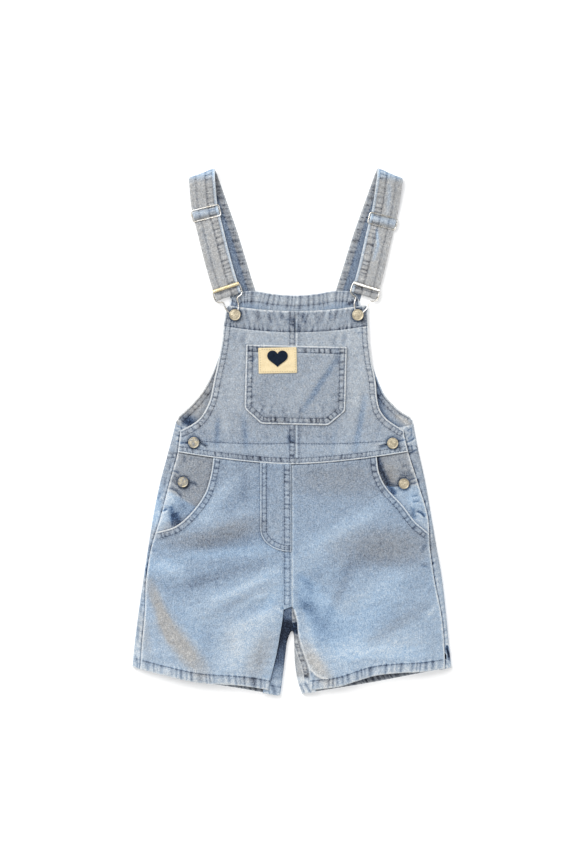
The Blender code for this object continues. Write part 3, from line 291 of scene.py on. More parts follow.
MARKS = {
    # painted shade of short creases, slits and edges, with painted highlights beside them
    # short creases: change of wash, half width, change of wash to their left, points
    "hip_left": (
        (-0.3, 1.2, 0.12, (-134.4, -49.8), (-139.8, -46.8), (-145.2, -46.2)),
        (-0.14, 1.6, 0.05, (-138.0, -35.4), (-144.0, -34.8)),
        (-0.12, 1.4, 0.1, (-136.8, -63.6), (-141.6, -59.4), (-147.6, -57.0)),
        (-0.2, 1.4, 0.16, (-132.0, -78.0), (-136.8, -71.4), (-142.8, -67.8), (-150.0, -66.6)),
        (-0.36, 1.1, 0.16, (-148.8, -92.4), (-152.4, -93.6), (-156.6, -95.4)),
        (-0.26, 3.0, 0.0, (-144.6, -87.6), (-144.0, -97.2), (-142.8, -112.8)),
        (-0.26, 4.6, 0.0, (-140.4, -96.0), (-134.4, -111.0)),
        (-0.08, 3.2, 0.0, (-132.0, -85.2), (-126.0, -92.4)),
        (-0.42, 1.0, 0.06, (-114.0, -63.0), (-118.8, -60.6), (-123.6, -59.4)),
        (-0.14, 1.6, 0.0, (-127.8, -28.8), (-129.0, -36.6)),
        (-0.14, 1.6, 0.0, (-120.0, -30.0), (-121.8, -35.4)),
        (-0.08, 1.6, 0.0, (-104.4, -32.4), (-106.8, -38.4)),
        (-0.1, 3.6, 0.0, (-140.4, -50.4), (-139.8, -58.8)),
    ),
    "hip_right": (
        (-0.36, 3.8, 0.0, (100.8, -27.6), (106.8, -45.6), (114.0, -60.0), (123.6, -75.6)),
        (-0.2, 1.2, 0.12, (128.4, -64.2), (121.2, -64.0), (112.8, -62.4)),
        (-0.2, 1.3, 0.0, (145.2, -50.4), (139.2, -52.8), (128.4, -51.0)),
        (-0.3, 1.0, 0.12, (148.8, -54.6), (140.4, -57.6)),
        (-0.3, 1.0, 0.12, (150.0, -60.0), (141.6, -62.4)),
        (-0.26, 1.0, 0.1, (151.2, -75.6), (142.8, -76.8)),
        (-0.26, 1.0, 0.1, (152.4, -82.8), (144.0, -83.4)),
        (-0.4, 1.2, 0.25, (159.0, -102.0), (154.2, -96.6), (149.4, -94.8)),
        (-0.2, 2.9, 0.0, (144.0, -90.0), (146.4, -104.4)),
        (-0.14, 1.8, 0.0, (130.8, -40.8), (138.0, -39.6)),
        (-0.14, 1.6, 0.0, (127.2, -46.8), (134.4, -48.6), (141.6, -46.8)),
        (-0.14, 1.4, 0.0, (127.2, -32.4), (132.0, -34.8)),
    ),
    "return_left": (
        (-0.22, 1.1, 0.1, (-130.8, 1.2), (-133.2, 5.4), (-138.0, 7.2)),
        (-0.3, 1.2, 0.1, (-133.2, -11.4), (-139.2, -10.8)),
        (-0.2, 1.0, 0.08, (-133.2, -4.8), (-139.2, -4.2)),
        (-0.16, 1.0, 0.08, (-136.8, 1.2), (-140.4, 1.8)),
        (-0.2, 1.0, 0.0, (-132.6, 7.8), (-132.0, 2.4)),
        (-0.14, 1.4, 0.1, (-144.0, -36.0), (-147.6, -45.6)),
        (-0.14, 1.6, 0.1, (-151.2, -55.2), (-152.4, -67.2)),
        (-0.16, 1.7, 0.12, (-157.2, -72.0), (-160.8, -81.6)),
        (-0.12, 1.6, 0.2, (-154.8, -80.4), (-158.4, -91.2)),
        (-0.14, 1.8, 0.08, (-170.4, -135.6), (-172.8, -148.8)),
        (-0.25, 1.4, 0.12, (-171.6, -156.0), (-174.6, -165.6), (-172.8, -174.0)),
        (-0.12, 1.6, 0.08, (-178.8, -201.6), (-180.6, -216.0)),
        (-0.12, 1.6, 0.08, (-183.6, -231.6), (-184.8, -249.6)),
    ),
    "return_right": (
        (-0.26, 1.0, 0.0, (137.4, 1.2), (142.8, 4.8), (143.4, -4.8), (138.0, -9.0)),
        (-0.32, 1.1, 0.16, (147.0, -6.6), (142.8, -10.2), (136.8, -12.6)),
        (-0.25, 1.0, 0.06, (139.2, -15.6), (141.0, -24.0)),
        (-0.25, 1.0, 0.06, (142.8, -14.4), (144.6, -22.8)),
        (-0.26, 1.1, 0.1, (150.0, -20.4), (145.2, -23.4), (140.4, -25.2)),
        (-0.14, 1.7, 0.1, (145.2, -34.8), (150.0, -46.8)),
        (-0.2, 1.3, 0.0, (151.2, -55.2), (152.4, -61.2)),
        (-0.26, 1.3, 0.1, (160.8, -82.2), (156.6, -85.8)),
        (-0.16, 1.7, 0.1, (159.6, -96.0), (162.0, -108.0)),
        (-0.32, 1.3, 0.1, (170.4, -155.4), (166.8, -158.4), (163.2, -159.6)),
        (-0.14, 1.7, 0.1, (169.2, -171.6), (170.4, -187.2)),
        (-0.12, 1.7, 0.1, (174.0, -201.6), (175.8, -216.0)),
        (-0.12, 1.7, 0.1, (178.8, -237.6), (180.0, -252.0)),
        (-0.8, 1.2, 0.0, (185.2, -254.6), (186.0, -262.8), (188.0, -270.6)),
        (-0.7, 1.2, 0.0, (186.6, -261.6), (188.4, -270.6)),
        (0.25, 0.9, 0.0, (182.4, -252.6), (186.6, -255.0), (190.2, -262.8)),
    ),
    "leg_left": (
        (-0.12, 1.8, 0.06, (-160.8, -142.8), (-168.0, -140.4)),
        (-0.2, 1.7, 0.1, (-13.2, -208.8), (-9.6, -211.2)),
    ),
    "leg_right": (
        (-0.16, 1.1, 0.08, (162.0, -160.8), (157.8, -160.6), (153.0, -159.0)),
        (-0.12, 2.4, 0.05, (159.6, -134.4), (153.6, -144.0)),
        (0.3, 1.1, -0.14, (44.4, -295.2), (36.0, -293.8), (28.8, -290.4), (21.6, -282.6)),
    ),
    "bib_left": (
        (-0.38, 1.3, 0.1, (-102.0, -16.8), (-106.2, -13.8), (-111.6, -11.4)),
        (-0.34, 1.1, 0.08, (-123.6, -13.0), (-134.4, -13.0)),
        (-0.14, 1.2, 0.06, (-124.8, -3.0), (-134.4, -6.0)),
        (-0.12, 2.2, 0.1, (-12.0, 134.4), (-15.6, 145.2)),
        (-0.1, 2.8, 0.1, (-25.2, 130.0), (-26.4, 144.0)),
        (-0.1, 2.4, 0.1, (-40.8, 132.0), (-42.0, 141.6)),
        (-0.2, 1.1, 0.0, (-6.0, 134.4), (4.8, 134.4)),
        (-0.18, 1.6, 0.0, (-4.8, -3.6), (-2.4, -10.8), (4.8, -10.8)),
        (-0.1, 3.0, 0.06, (-56.4, 120.0), (-60.0, 103.2)),
        (-0.1, 2.4, 0.06, (-67.2, 121.2), (-70.8, 109.2)),
    ),
    "bib_right": (
        (-0.38, 1.3, 0.12, (104.4, -17.4), (110.4, -15.6), (115.8, -13.8)),
        (-0.3, 1.1, 0.1, (138.0, -8.4), (126.0, -11.4)),
        (-0.14, 2.8, 0.08, (16.2, 130.0), (12.0, 143.0)),
        (-0.1, 2.6, 0.1, (31.2, 128.8), (28.8, 144.0)),
        (-0.12, 2.4, 0.1, (45.6, 132.0), (46.8, 141.6)),
        (-0.12, 2.6, 0.06, (63.6, 118.8), (61.2, 104.4)),
        (-0.1, 2.6, 0.06, (52.8, 116.4), (49.2, 104.4)),
        (-0.2, 1.0, 0.12, (78.0, 118.8), (86.4, 119.4)),
    ),
    "pocket": (
        (-0.16, 1.7, 0.08, (-45.6, 90.0), (-48.0, 82.8)),
        (-0.1, 1.7, 0.06, (-36.0, 22.8), (-33.6, 31.2)),
        (-0.1, 1.7, 0.06, (-25.2, 21.6), (-24.0, 32.4)),
        (-0.08, 1.7, 0.06, (-10.8, 21.6), (-10.8, 31.2)),
        (-0.08, 1.7, 0.06, (9.6, 21.6), (10.8, 30.0)),
        (-0.1, 1.7, 0.06, (38.4, 22.8), (36.0, 32.4)),
    ),
}
LEG_WASH = ((-30.0, 0.55), (-100.0, 0.58), (-150.0, 0.61), (-220.0, 0.67), (-285.0, 0.74))
LEG_GREY = ((-30.0, 0.46), (-100.0, 0.3), (-170.0, 0.24), (-285.0, 0.24))
CROTCH_SHADE = (
    # y, wash on the inside of the left leg's back, in the shade of the crotch
    (-206.0, 0.24), (-222.0, 0.2), (-227.5, -0.08), (-243.0, -0.06), (-254.0, 0.02),
    (-264.0, 0.1), (-277.0, 0.18), (-283.0, 0.34), (-293.0, 0.42), (-300.0, 0.6), (-312.0, 0.6),
)
# painted light on the creases' ridges and painted shade in their troughs, partly the fading of
# rubbed ridges
CREASE_SHADE_AND_WEAR = 0.085  # how much lighter a crease is for each millimetre it stands up
ZONE_WASH = 1.25

# ------------------------------------------------------------ pockets and fly
POCKET_TABLE = {
    # x, y along the open edge, from the waist seam to the side seam
    "left": (
        (-93.2, -29.0), (-96.4, -50.0), (-103.4, -73.0), (-118.2, -94.6), (-139.0, -113.0),
        (-163.2, -120.4),
    ),
    "right": (
        (100.6, -27.0), (103.4, -48.0), (110.6, -64.0), (133.0, -89.4), (146.0, -106.6),
        (163.4, -121.6),
    ),
}
POCKET_FACING = 13.0  # how far the hip panel reaches in under the pocket's edge
HIP_PANEL_END_Y = -134.0
FLY_SIDES = (-1.2, -37.5)
FLY_TOP_GAP = 0.6
FLY_END_Y = -142.5
FLY_CURVE = 26.0
BIB_POCKET_CENTRE = (4.2, 56.0)
BIB_POCKET_SIZE = (119.5, 93.5)
BIB_POCKET_CHAMFER = (20.0, 17.5)
BIB_POCKET_TURN = -1.4
PATCH_CENTRE = (-17.2, 85.6)
PATCH_SIZE = (45.0, 30.0)
PATCH_TURN = 1.2
HEART_CENTRE = (-17.4, 88.2)
HEART_WIDTH = 24.0

# ------------------------------------------------------------ straps
STRAP_WIDTH = 31.0
STRAP_COLUMNS = 26
BACK_ROWS = 90  # rows of points up the back part
BEND_ROWS = 20  # over the bend
CURVE_ROWS = 12  # and down each of the front's two curves
BELOW_BAR = 50.0  # length of the path past the buckle's bar, more than is used
STRAPS = {
    "left": {
        "base": (-56.0, 157.0),
        "bend": (-107.6, 303.5),
        "slider": (-103.1, 262.0),
        "bar": (-79.2, 172.8),
        "button": (-68.2, 140.2),
        "slants": (5.0, 14.5),
        "inner": 1.0,
    },
    "right": {
        "base": (64.4, 157.0),
        "bend": (117.0, 303.2),
        "slider": (108.6, 252.6),
        "bar": (89.2, 174.0),
        "button": (78.6, 139.9),
        "slants": (-8.0, -15.0),
        "inner": -1.0,
    },
}
BEND_RADIUS = (3.4, 8.2)  # at the outer and the inner edge
BACK_BOW = 3.0  # how far the back part bows inwards on its way up to the bend
# a strap's cloth near the slider's bar and the buckle's top bar, in front and behind:
# distance from the bar, height above the level that the cloth has beside it
OVER_SLIDER = ((5.7, 0.0), (4.4, 1.1), (3.2, 3.2), (1.6, 4.8), (0.0, 5.2))
OVER_BUCKLE = ((-1.6, 0.0), (1.6, 0.0), (4.6, 1.7), (7.4, 3.4))
BEHIND_BUCKLE = ((6.2, -1.1), (1.0, -LAYER), (-14.0, -LAYER))
BEHIND_SLIDER = (
    (40.0, 0.6 - LAYER),
    (12.0, -LAYER),
    (5.4, -LAYER),
    (3.4, 0.5 - LAYER),
    (1.6, 1.45 - LAYER),
)
WIRE_RADIUS = 0.9
SLIDER_SIZE = (34.0, 13.5)
SLIDER_LEVEL = 5.4
SLIDER_BAR_RADIUS = 0.7
SLIDER_CORNER = 2.4
BUCKLE_LEVEL = 6.9
BUCKLE_NECK_LEVEL = 6.5
CROSSBAR_AT = 9.2
CROSSBAR_RADIUS = 0.8
BUCKLE_HALF = (
    # across and down from the middle of its top: half of the keyhole of wire
    (0.0, 0.0), (14.6, 0.0), (16.4, 0.7), (17.0, 2.4), (17.0, 10.6), (16.1, 12.6),
    (13.2, 14.4), (9.9, 15.2), (8.3, 16.8), (8.5, 20.6), (8.0, 24.6), (6.4, 28.0),
    (4.9, 30.8), (4.5, 34.4), (3.7, 37.6), (1.8, 39.5), (0.0, 39.9),
)
BIB_BUTTON_FOOT = 3.1
SIDE_BUTTON_FOOT = 1.2
SIDE_BUTTONS = {
    "waist_button_left": (-117.2, -12.6),
    "waist_button_right": (120.1, -13.4),
    "hip_button_left": (-127.9, -62.2),
    "hip_button_right": (133.7, -61.8),
}
HIP_BUTTON = {"left": (-130.2, -59.8), "right": (133.7, -61.8)}  # where they sit as shown


# ------------------------------------------------------------ small helpers
def hermite(a, b, start, end, t):
    """The cubic from a to b with these rates of change at its ends."""
    return (
        a * (1 + 2 * t) * (1 - t) ** 2
        + start * t * (1 - t) ** 2
        + b * t * t * (3 - 2 * t)
        + end * t * t * (t - 1)
    )


def through(xs, ys):
    """A smooth curve through a table's points that never overshoots them."""
    order = np.argsort(xs)
    x = np.asarray(xs, float)[order]
    y = np.asarray(ys, float)[order]
    run, slope = np.diff(x), np.diff(y) / np.diff(x)
    tangent = np.concatenate([slope[:1], (slope[1:] + slope[:-1]) / 2, slope[-1:]])
    turns = slope[1:] * slope[:-1] <= 0
    tangent[1:-1][turns] = 0
    for i, s in enumerate(slope):
        limit = 3 * abs(s)
        tangent[i] = np.clip(tangent[i], -limit, limit)
        tangent[i + 1] = np.clip(tangent[i + 1], -limit, limit)

    def value(at):
        at = np.clip(at, x[0], x[-1])
        i = np.clip(np.searchsorted(x, at, side="right") - 1, 0, len(run) - 1)
        t = (at - x[i]) / run[i]
        return hermite(y[i], y[i + 1], run[i] * tangent[i], run[i] * tangent[i + 1], t)

    return value


def column(table, index):
    """The smooth curve of one column of a table against its first."""
    rows = np.array(table, float)
    return through(rows[:, 0], rows[:, index])


def smoothstep(t):
    t = np.clip(t, 0, 1)
    return t * t * (3 - 2 * t)


def bell(*shares):
    """1 where every share is 0, and falling away to nothing round it."""
    return np.exp(-sum(share**2 for share in shares))


def turned(points, centre, degrees):
    """Points given about a centre, turned and moved there."""
    a = math.radians(degrees)
    p = np.asarray(points, float)
    turn = np.array([[math.cos(a), math.sin(a)], [-math.sin(a), math.cos(a)]])
    return p @ turn + centre


def lengths(points):
    """How far along a polyline each of its points is."""
    steps = np.linalg.norm(np.diff(points, axis=0), axis=1)
    return np.concatenate([[0], np.cumsum(steps)])


def at_lengths(points, at):
    """The places at given distances along a polyline."""
    along = lengths(points)
    return np.column_stack([np.interp(at, along, points[:, i]) for i in range(points.shape[1])])


def resampled(points, step=EDGE):
    """Points spaced evenly along a polyline, its two ends kept."""
    p = np.asarray(points, float)
    total = lengths(p)[-1]
    return at_lengths(p, np.linspace(0, total, max(1, round(total / step)) + 1))


def curve_through(points):
    """A smooth line through given points, by its own length."""
    p = np.asarray(points, float)
    along = lengths(p)
    fine = np.linspace(0, along[-1], 60 * len(p))
    x, y = through(along, p[:, 0]), through(along, p[:, 1])
    return resampled(np.column_stack([x(fine), y(fine)]))


def side_line(curve, y_from, y_to, shift=0.0):
    """The line x = curve(y) + shift between two heights."""
    y = np.linspace(y_from, y_to, CURVE_POINTS)
    return resampled(np.column_stack([curve(y) + shift, y]))


def level_line(curve, x_from, x_to, shift=0.0):
    """The line y = curve(x) + shift between two places."""
    x = np.linspace(x_from, x_to, CURVE_POINTS)
    return resampled(np.column_stack([x, curve(x) + shift]))


def meet(side_curve, cross_curve, y):
    """The height at which a line x = side_curve(y) meets the line y = cross_curve(x)."""
    for _ in range(12):
        y = float(cross_curve(side_curve(y)))
    return y


def loop_of(*lines):
    """One closed outline from lines that follow each other."""
    joined = np.concatenate([np.atleast_2d(line) for line in lines])
    apart = np.linalg.norm(joined - np.roll(joined, 1, axis=0), axis=1) > 0.05
    return joined[apart]


def offset_line(line, by):
    """A line moved sideways, to the left of its own direction."""
    run = np.gradient(line, axis=0)
    run /= np.linalg.norm(run, axis=1)[:, None]
    return line + np.column_stack([-run[:, 1], run[:, 0]]) * by


def inside(points, outline):
    """Which points lie inside a closed outline."""
    x0, y0 = outline[:, 0], outline[:, 1]
    x1, y1 = np.roll(x0, -1), np.roll(y0, -1)
    rise = np.where(y1 == y0, 1.0, y1 - y0)
    found = []
    for part in np.array_split(points, len(points) // 4000 + 1):
        x, y = part[:, :1], part[:, 1:2]
        crosses = (y0 > y) != (y1 > y)
        found.append((crosses & (x < (x1 - x0) * (y - y0) / rise + x0)).sum(axis=1) % 2 == 1)
    return np.concatenate(found)


CELLS_ACROSS = 100003  # more than there are in any row


def crowded(points, others, size):
    """Which points are about a cell's size or less away from any of the others."""

    def cell(p, i=0, j=0):
        at = np.floor(p / size).astype(np.int64)
        return (at[:, 0] + i) * CELLS_ACROSS + at[:, 1] + j

    near = (-1, 0, 1)
    taken = [cell(others, i, j) for i in near for j in near]
    return np.isin(cell(points), np.concatenate(taken))


# ------------------------------------------------------------ the edges
SIDES = ("left", "right")
OUTWARD = {"left": -1.0, "right": 1.0}
OUTLINE = {"left": column(BODY, 1), "right": column(BODY, 4)}
SEAM = {"left": column(BODY, 2), "right": column(BODY, 3)}
FRONT_BIB = {s: column(FRONT_BIB_SIDE, i) for i, s in enumerate(SIDES, 1)}
BACK_BIB = {s: column(BACK_BIB_SIDE, i) for i, s in enumerate(SIDES, 1)}
NOTCH_SIDE = {s: column(NOTCH, i) for i, s in enumerate(SIDES, 1)}
INSEAM = {s: column(INSEAM_TABLE[s], 1) for s in SIDES}
FRONT_HEM = {s: column(FRONT_HEM_TABLE[s], 1) for s in SIDES}
BACK_HEM = {s: column(BACK_HEM_TABLE[s], 1) for s in SIDES}
POCKET = {s: curve_through(POCKET_TABLE[s]) for s in SIDES}
underlap = column(UNDERLAP, 1)
roll_layers = column(ROLL_LEVEL, 1)
edge_height = column(LOFT, 1)
crown_rise = column(LOFT, 2)
leg_wash = column(LEG_WASH, 1)
leg_grey = column(LEG_GREY, 1)
crotch_shade = column(CROTCH_SHADE, 1)


def waist(x):
    """The front waist seam."""
    return WAIST_Y + WAIST_RISE * np.abs(x / WAIST_REACH) ** WAIST_BEND


def leg_top(x):
    """The hidden top edge of the front legs and hip panels, under the bib."""
    return waist(x) + WAIST_LAP


def front_bib_top(x):
    out = (x - BIB_CENTRE_X) / FRONT_BIB_TOP_REACH
    return FRONT_BIB_TOP_Y + FRONT_BIB_TOP_RISE * out**2


def crown_edge(side, y):
    """The outline that the front's crown starts from: the bib's, then the body's."""
    bib, body = FRONT_BIB[side](y), OUTLINE[side](y)
    return bib + (body - bib) * smoothstep((CROWN_WIDENS_Y - y) / 16.0)


# ------------------------------------------------------------ the surfaces
# painted shade on the cloth round each button
ZONES += tuple(
    (*place, place[0] + 0.1, place[1], 8.0, -0.3, -0.2)
    for place in (*SIDE_BUTTONS.values(), *(STRAPS[s]["button"] for s in ("left", "right")))
)


def strokes(table, x, y, column_at=5, power=2):
    """The sum of soft strokes along a table's lines, strongest at their middles."""
    total = np.zeros(np.broadcast(x, y).shape)
    for row in table:
        x0, y0, x1, y1, width = row[:5]
        run = (x1 - x0, y1 - y0)
        t = ((x - x0) * run[0] + (y - y0) * run[1]) / (run[0] ** 2 + run[1] ** 2)
        t = np.clip(t, 0, 1)
        away = np.hypot(x - x0 - t * run[0], y - y0 - t * run[1])
        ends = 0.5 + 0.5 * np.sin(math.pi * t)
        total = total + row[column_at] * ends * np.exp(-((away / width) ** power))
    return total


RUMPLES = [
    # direction and wave number, phase, height: a slight unevenness all over
    (math.cos(a) * k, math.sin(a) * k, phase, 0.6 / (1 + 12 * k))
    for a, k, phase in zip(
        *np.random.default_rng(7).uniform((0, 0.12, 0), (math.pi, 0.75, 6.28), (22, 3)).T
    )
]


def rumple(x, y):
    """The slight unevenness of washed cloth that lies flat."""
    total = 0.0
    for kx, ky, phase, size in RUMPLES:
        total = total + size * np.sin(kx * x + ky * y + phase)
    return total


def hip_level(x, y):
    """Middle of the cloth at the hip panels' level, which all of the front follows."""
    notch = np.where(
        y > NOTCH_Y,
        np.hypot(x, y - NOTCH_Y),
        np.maximum(x - NOTCH_SIDE["right"](y), NOTCH_SIDE["left"](y) - x),
    )
    sides = (x - crown_edge("left", y), crown_edge("right", y) - x, notch)
    near = -CROWN_BLEND * np.log(sum(np.exp(-d / CROWN_BLEND) for d in sides))
    crown = 1 - np.exp(-np.maximum(near, 0) / CROWN_REACH)
    small = 1 - np.exp(-np.maximum(near, 0) / CREASE_REACH)
    large = crown * (crown_rise(y) + strokes(FOLDS, x, y))
    return edge_height(y) + large + small * (strokes(CREASES, x, y) + rumple(x, y))


def raised(level, layers=1):
    """The level that many layers above another."""
    return lambda x, y: level(x, y) + layers * LAYER


def front_bib_level(x, y):
    """Two layers up where it laps the legs, and down on the back bib above that."""
    lapped = 1 - smoothstep((y - waist(x) - WAIST_LAP - 3.0) / BIB_SETTLE)
    return hip_level(x, y) + 2 * LAYER * lapped


front_leg_level = raised(hip_level)
fly_level = raised(hip_level, 2)
bib_pocket_level = raised(front_bib_level)
patch_level = raised(bib_pocket_level)
heart_level = raised(patch_level)


def rolled_level(x, y):
    return hip_level(x, y) + roll_layers(y) * LAYER


def floor_level(x, y):
    return np.full(np.broadcast(x, y).shape, FLOOR_LEVEL)


def back_bib_level(x, y):
    low, high = BACK_BIB_RISE
    return FLOOR_LEVEL + LAYER * smoothstep((y - low) / (high - low))


# ------------------------------------------------------------ seams
GROOVE = 0.34  # depth of the furrow that a row of stitches pulls
GROOVE_WIDTH = 0.85
FURROW_ROWS = (-0.9, 0.0, 0.9)  # rows of the mesh's points at a furrow
DARK_MARK_GAIN = 1.25
MARK_DEPTH = 1.2  # how deep a crease is for each step of wash that it's darker
MARK_TINT = 1.5  # and how much less grey, once it's dark
SEAM_REACH = 16.0
OUT_OF_REACH = -99.0  # the distance given to points past a seam's ends
EDGE_WIDTH = 1.35  # of the bright line on an edge, partly wear and partly a painted highlight
SHADE_WIDTH = 1.7


def uneven(number, seed):
    """A steady random share for each whole number."""
    return np.modf(np.abs(np.sin(number * 12.9898 + seed * 78.233)) * 43758.5453)[0]


def puckers(s, period, seed, width):
    """(height, wash) along a seam: puffs of uneven size between dark creases."""
    turn = 2 * math.pi * s / period
    turn = turn + 1.9 * np.sin(turn / 4.7 + seed) + 1.1 * np.sin(turn / 2.9 + 2.1 * seed)
    gain = 0.66 + 0.34 * np.sin(turn / 3.3 + 1.3 * seed)
    across = np.abs(np.sin(turn / 2))
    puff = gain * (across - 0.62)
    crease = 0.25 + 0.75 * uneven(np.round(turn / (2 * math.pi)), seed)
    crease = crease * bell(across / width)
    return 1.8 * puff - 0.5 * crease, 0.9 * puff - 1.35 * crease


SEAM_LOOKS = {
    "stitches": (),  # how far from the line each row of stitches is
    "sewn": None,  # the rows that get threads; all of them if it isn't given
    "band": 0.0,  # width of the folded band
    "lift": 0.0,  # how much thicker the cloth is there
    "pucker": 0.0,  # height of the puckers
    "contrast": 0.0,  # how strongly they show in the wash: painted light and shade, and roping fades
    "period": 7.6,  # from one pucker to the next
    "decay": 2.5,  # how far they carry on past the band
    "slant": 0.3,  # how far they lean along the seam
    "crease": 0.6,  # width of the dark creases between them
    "seed": 0.0,  # for their unevenness
    "edge": 0.0,  # how bright the edge on the line is, partly wear and partly a painted highlight
    "shade": 0.0,  # how dark the shade along the line is
    "dark": 0.24,  # how dark a row of stitches is
    "tint": 0.0,  # how much greyer the band is
    "marks": (),  # (distance, half width, change of wash) of creases along it
}


class Seam:
    """A line on the cloth with what lies to one side of it: a folded band, its rows of
    stitches, its puckers, and how the wash has taken to them."""

    def __init__(self, line, side=1.0, **looks):
        self.line = resampled(line, 2.0)
        self.side = side
        for name, value in {**SEAM_LOOKS, **looks}.items():
            setattr(self, name, value)
        if self.sewn is None:
            self.sewn = self.stitches

    def measure(self, points):
        """Which points are near, how far to the seam's side, and how far along."""
        low, high = self.line.min(0) - SEAM_REACH, self.line.max(0) + SEAM_REACH
        low, high = low - self.band, high + self.band
        near = np.flatnonzero(((points > low) & (points < high)).all(1))
        start, run = self.line[:-1], np.diff(self.line, axis=0)
        size, along = (run**2).sum(1), lengths(self.line)
        distance, at = [], []
        for part in np.array_split(points[near], len(near) // 3000 + 1):
            rel = part[:, None] - start
            t = (rel * run).sum(2) / size
            held = np.clip(t, 0, 1)
            away = ((rel - held[:, :, None] * run) ** 2).sum(2)
            k = away.argmin(1)
            pick = np.arange(len(part)), k
            cross = run[k, 0] * rel[pick][:, 1] - run[k, 1] * rel[pick][:, 0]
            beyond = ((k == 0) & (t[pick] < -0.4)) | ((k == len(run) - 1) & (t[pick] > 1.4))
            d = np.sqrt(away[pick]) * np.where(cross < 0, -1.0, 1.0) * self.side
            distance.append(np.where(beyond, OUT_OF_REACH, d))
            at.append(along[k] + held[pick] * np.sqrt(size[k]))
        return near, np.concatenate(distance), np.concatenate(at)

    def profile(self, d, s):
        """(height, wash, grey) at a distance from the seam and a place along it."""
        wave, shading = puckers(s + self.slant * d, self.period, self.seed, self.crease)
        on = smoothstep((d + 1.2) / 0.8)
        banded = on * (1 - smoothstep((d - self.band + 0.5) / 1.0))
        outside = np.maximum(d - self.band, 0)
        spread = on * np.exp(-outside / self.decay)
        height = self.lift * banded + self.pucker * wave * spread
        tint = self.tint * banded
        if len(self.stitches) > 1:
            low, high = self.stitches[0], self.stitches[-1]
            between = smoothstep((d - low) / 0.9) * (1 - smoothstep((d - high) / 0.9))
            shading = shading * between + 0.25 * between
        wash = self.contrast * shading * spread
        for at in self.stitches:
            groove = on * bell((d - at) / GROOVE_WIDTH)
            height = height - GROOVE * groove
            wash = wash - self.dark * groove
        if self.marks:
            left = lengths(self.line)[-1] - s
            ends = smoothstep((s + 0.6) / 2.4) * smoothstep((left + 0.6) / 2.4)
            for at, width, change in self.marks:
                mark = ends * change * bell((d - at) / width)
                height, wash = height + MARK_DEPTH * mark, wash + mark
                tint = tint + MARK_TINT * np.minimum(mark + 0.1, 0)
        # the edge's bright line, partly a painted highlight, and the painted shade along the line
        wash = wash + on * self.edge * bell(np.maximum(d, 0) / EDGE_WIDTH)
        wash = wash - on * self.shade * np.exp(-np.maximum(d, 0) / SHADE_WIDTH)
        return height, wash, tint

    def rows(self):
        """Points for the mesh along the band's furrows."""
        found = []
        for at in (*self.stitches, *(mark[0] for mark in self.marks)):
            for by in FURROW_ROWS:
                found.append(offset_line(resampled(self.line, EDGE), self.side * (at + by)))
        return found

    def stitch_lines(self):
        return [offset_line(self.line, self.side * at) for at in self.sewn]


def creases_of(name):
    """The short creases of one piece, with their painted shade and highlights."""
    found = []
    for dark, width, light, *line in MARKS[name]:
        dark *= DARK_MARK_GAIN if dark < 0 else 1.0
        look = ((0.0, width, dark), (2.0 * width, width, light)) if light else ((0.0, width, dark),)
        found.append(Seam(line, marks=look))
    return found


def seams_at(seams, points):
    """The height, wash and grey that some seams give to points of the plan."""
    total = np.zeros((3, len(points)))
    for seam in seams:
        near, d, s = seam.measure(points)
        total[:, near] += seam.profile(d, s)
    under = turned(points - PATCH_CENTRE, (0.0, 0.0), -PATCH_TURN)
    out = np.abs(under) - np.array(PATCH_SIZE) / 2
    total[0] *= smoothstep((out.max(1) - 0.2) / 1.2)
    return total


# ------------------------------------------------------------ walls of cloth
ABOVE, IN_ROLL, ON_FLOOR = 0, 1, 2


def merge_key(points):
    """Whole numbers that are the same for points at the same place."""
    return np.round(points * 500).astype(np.int64)


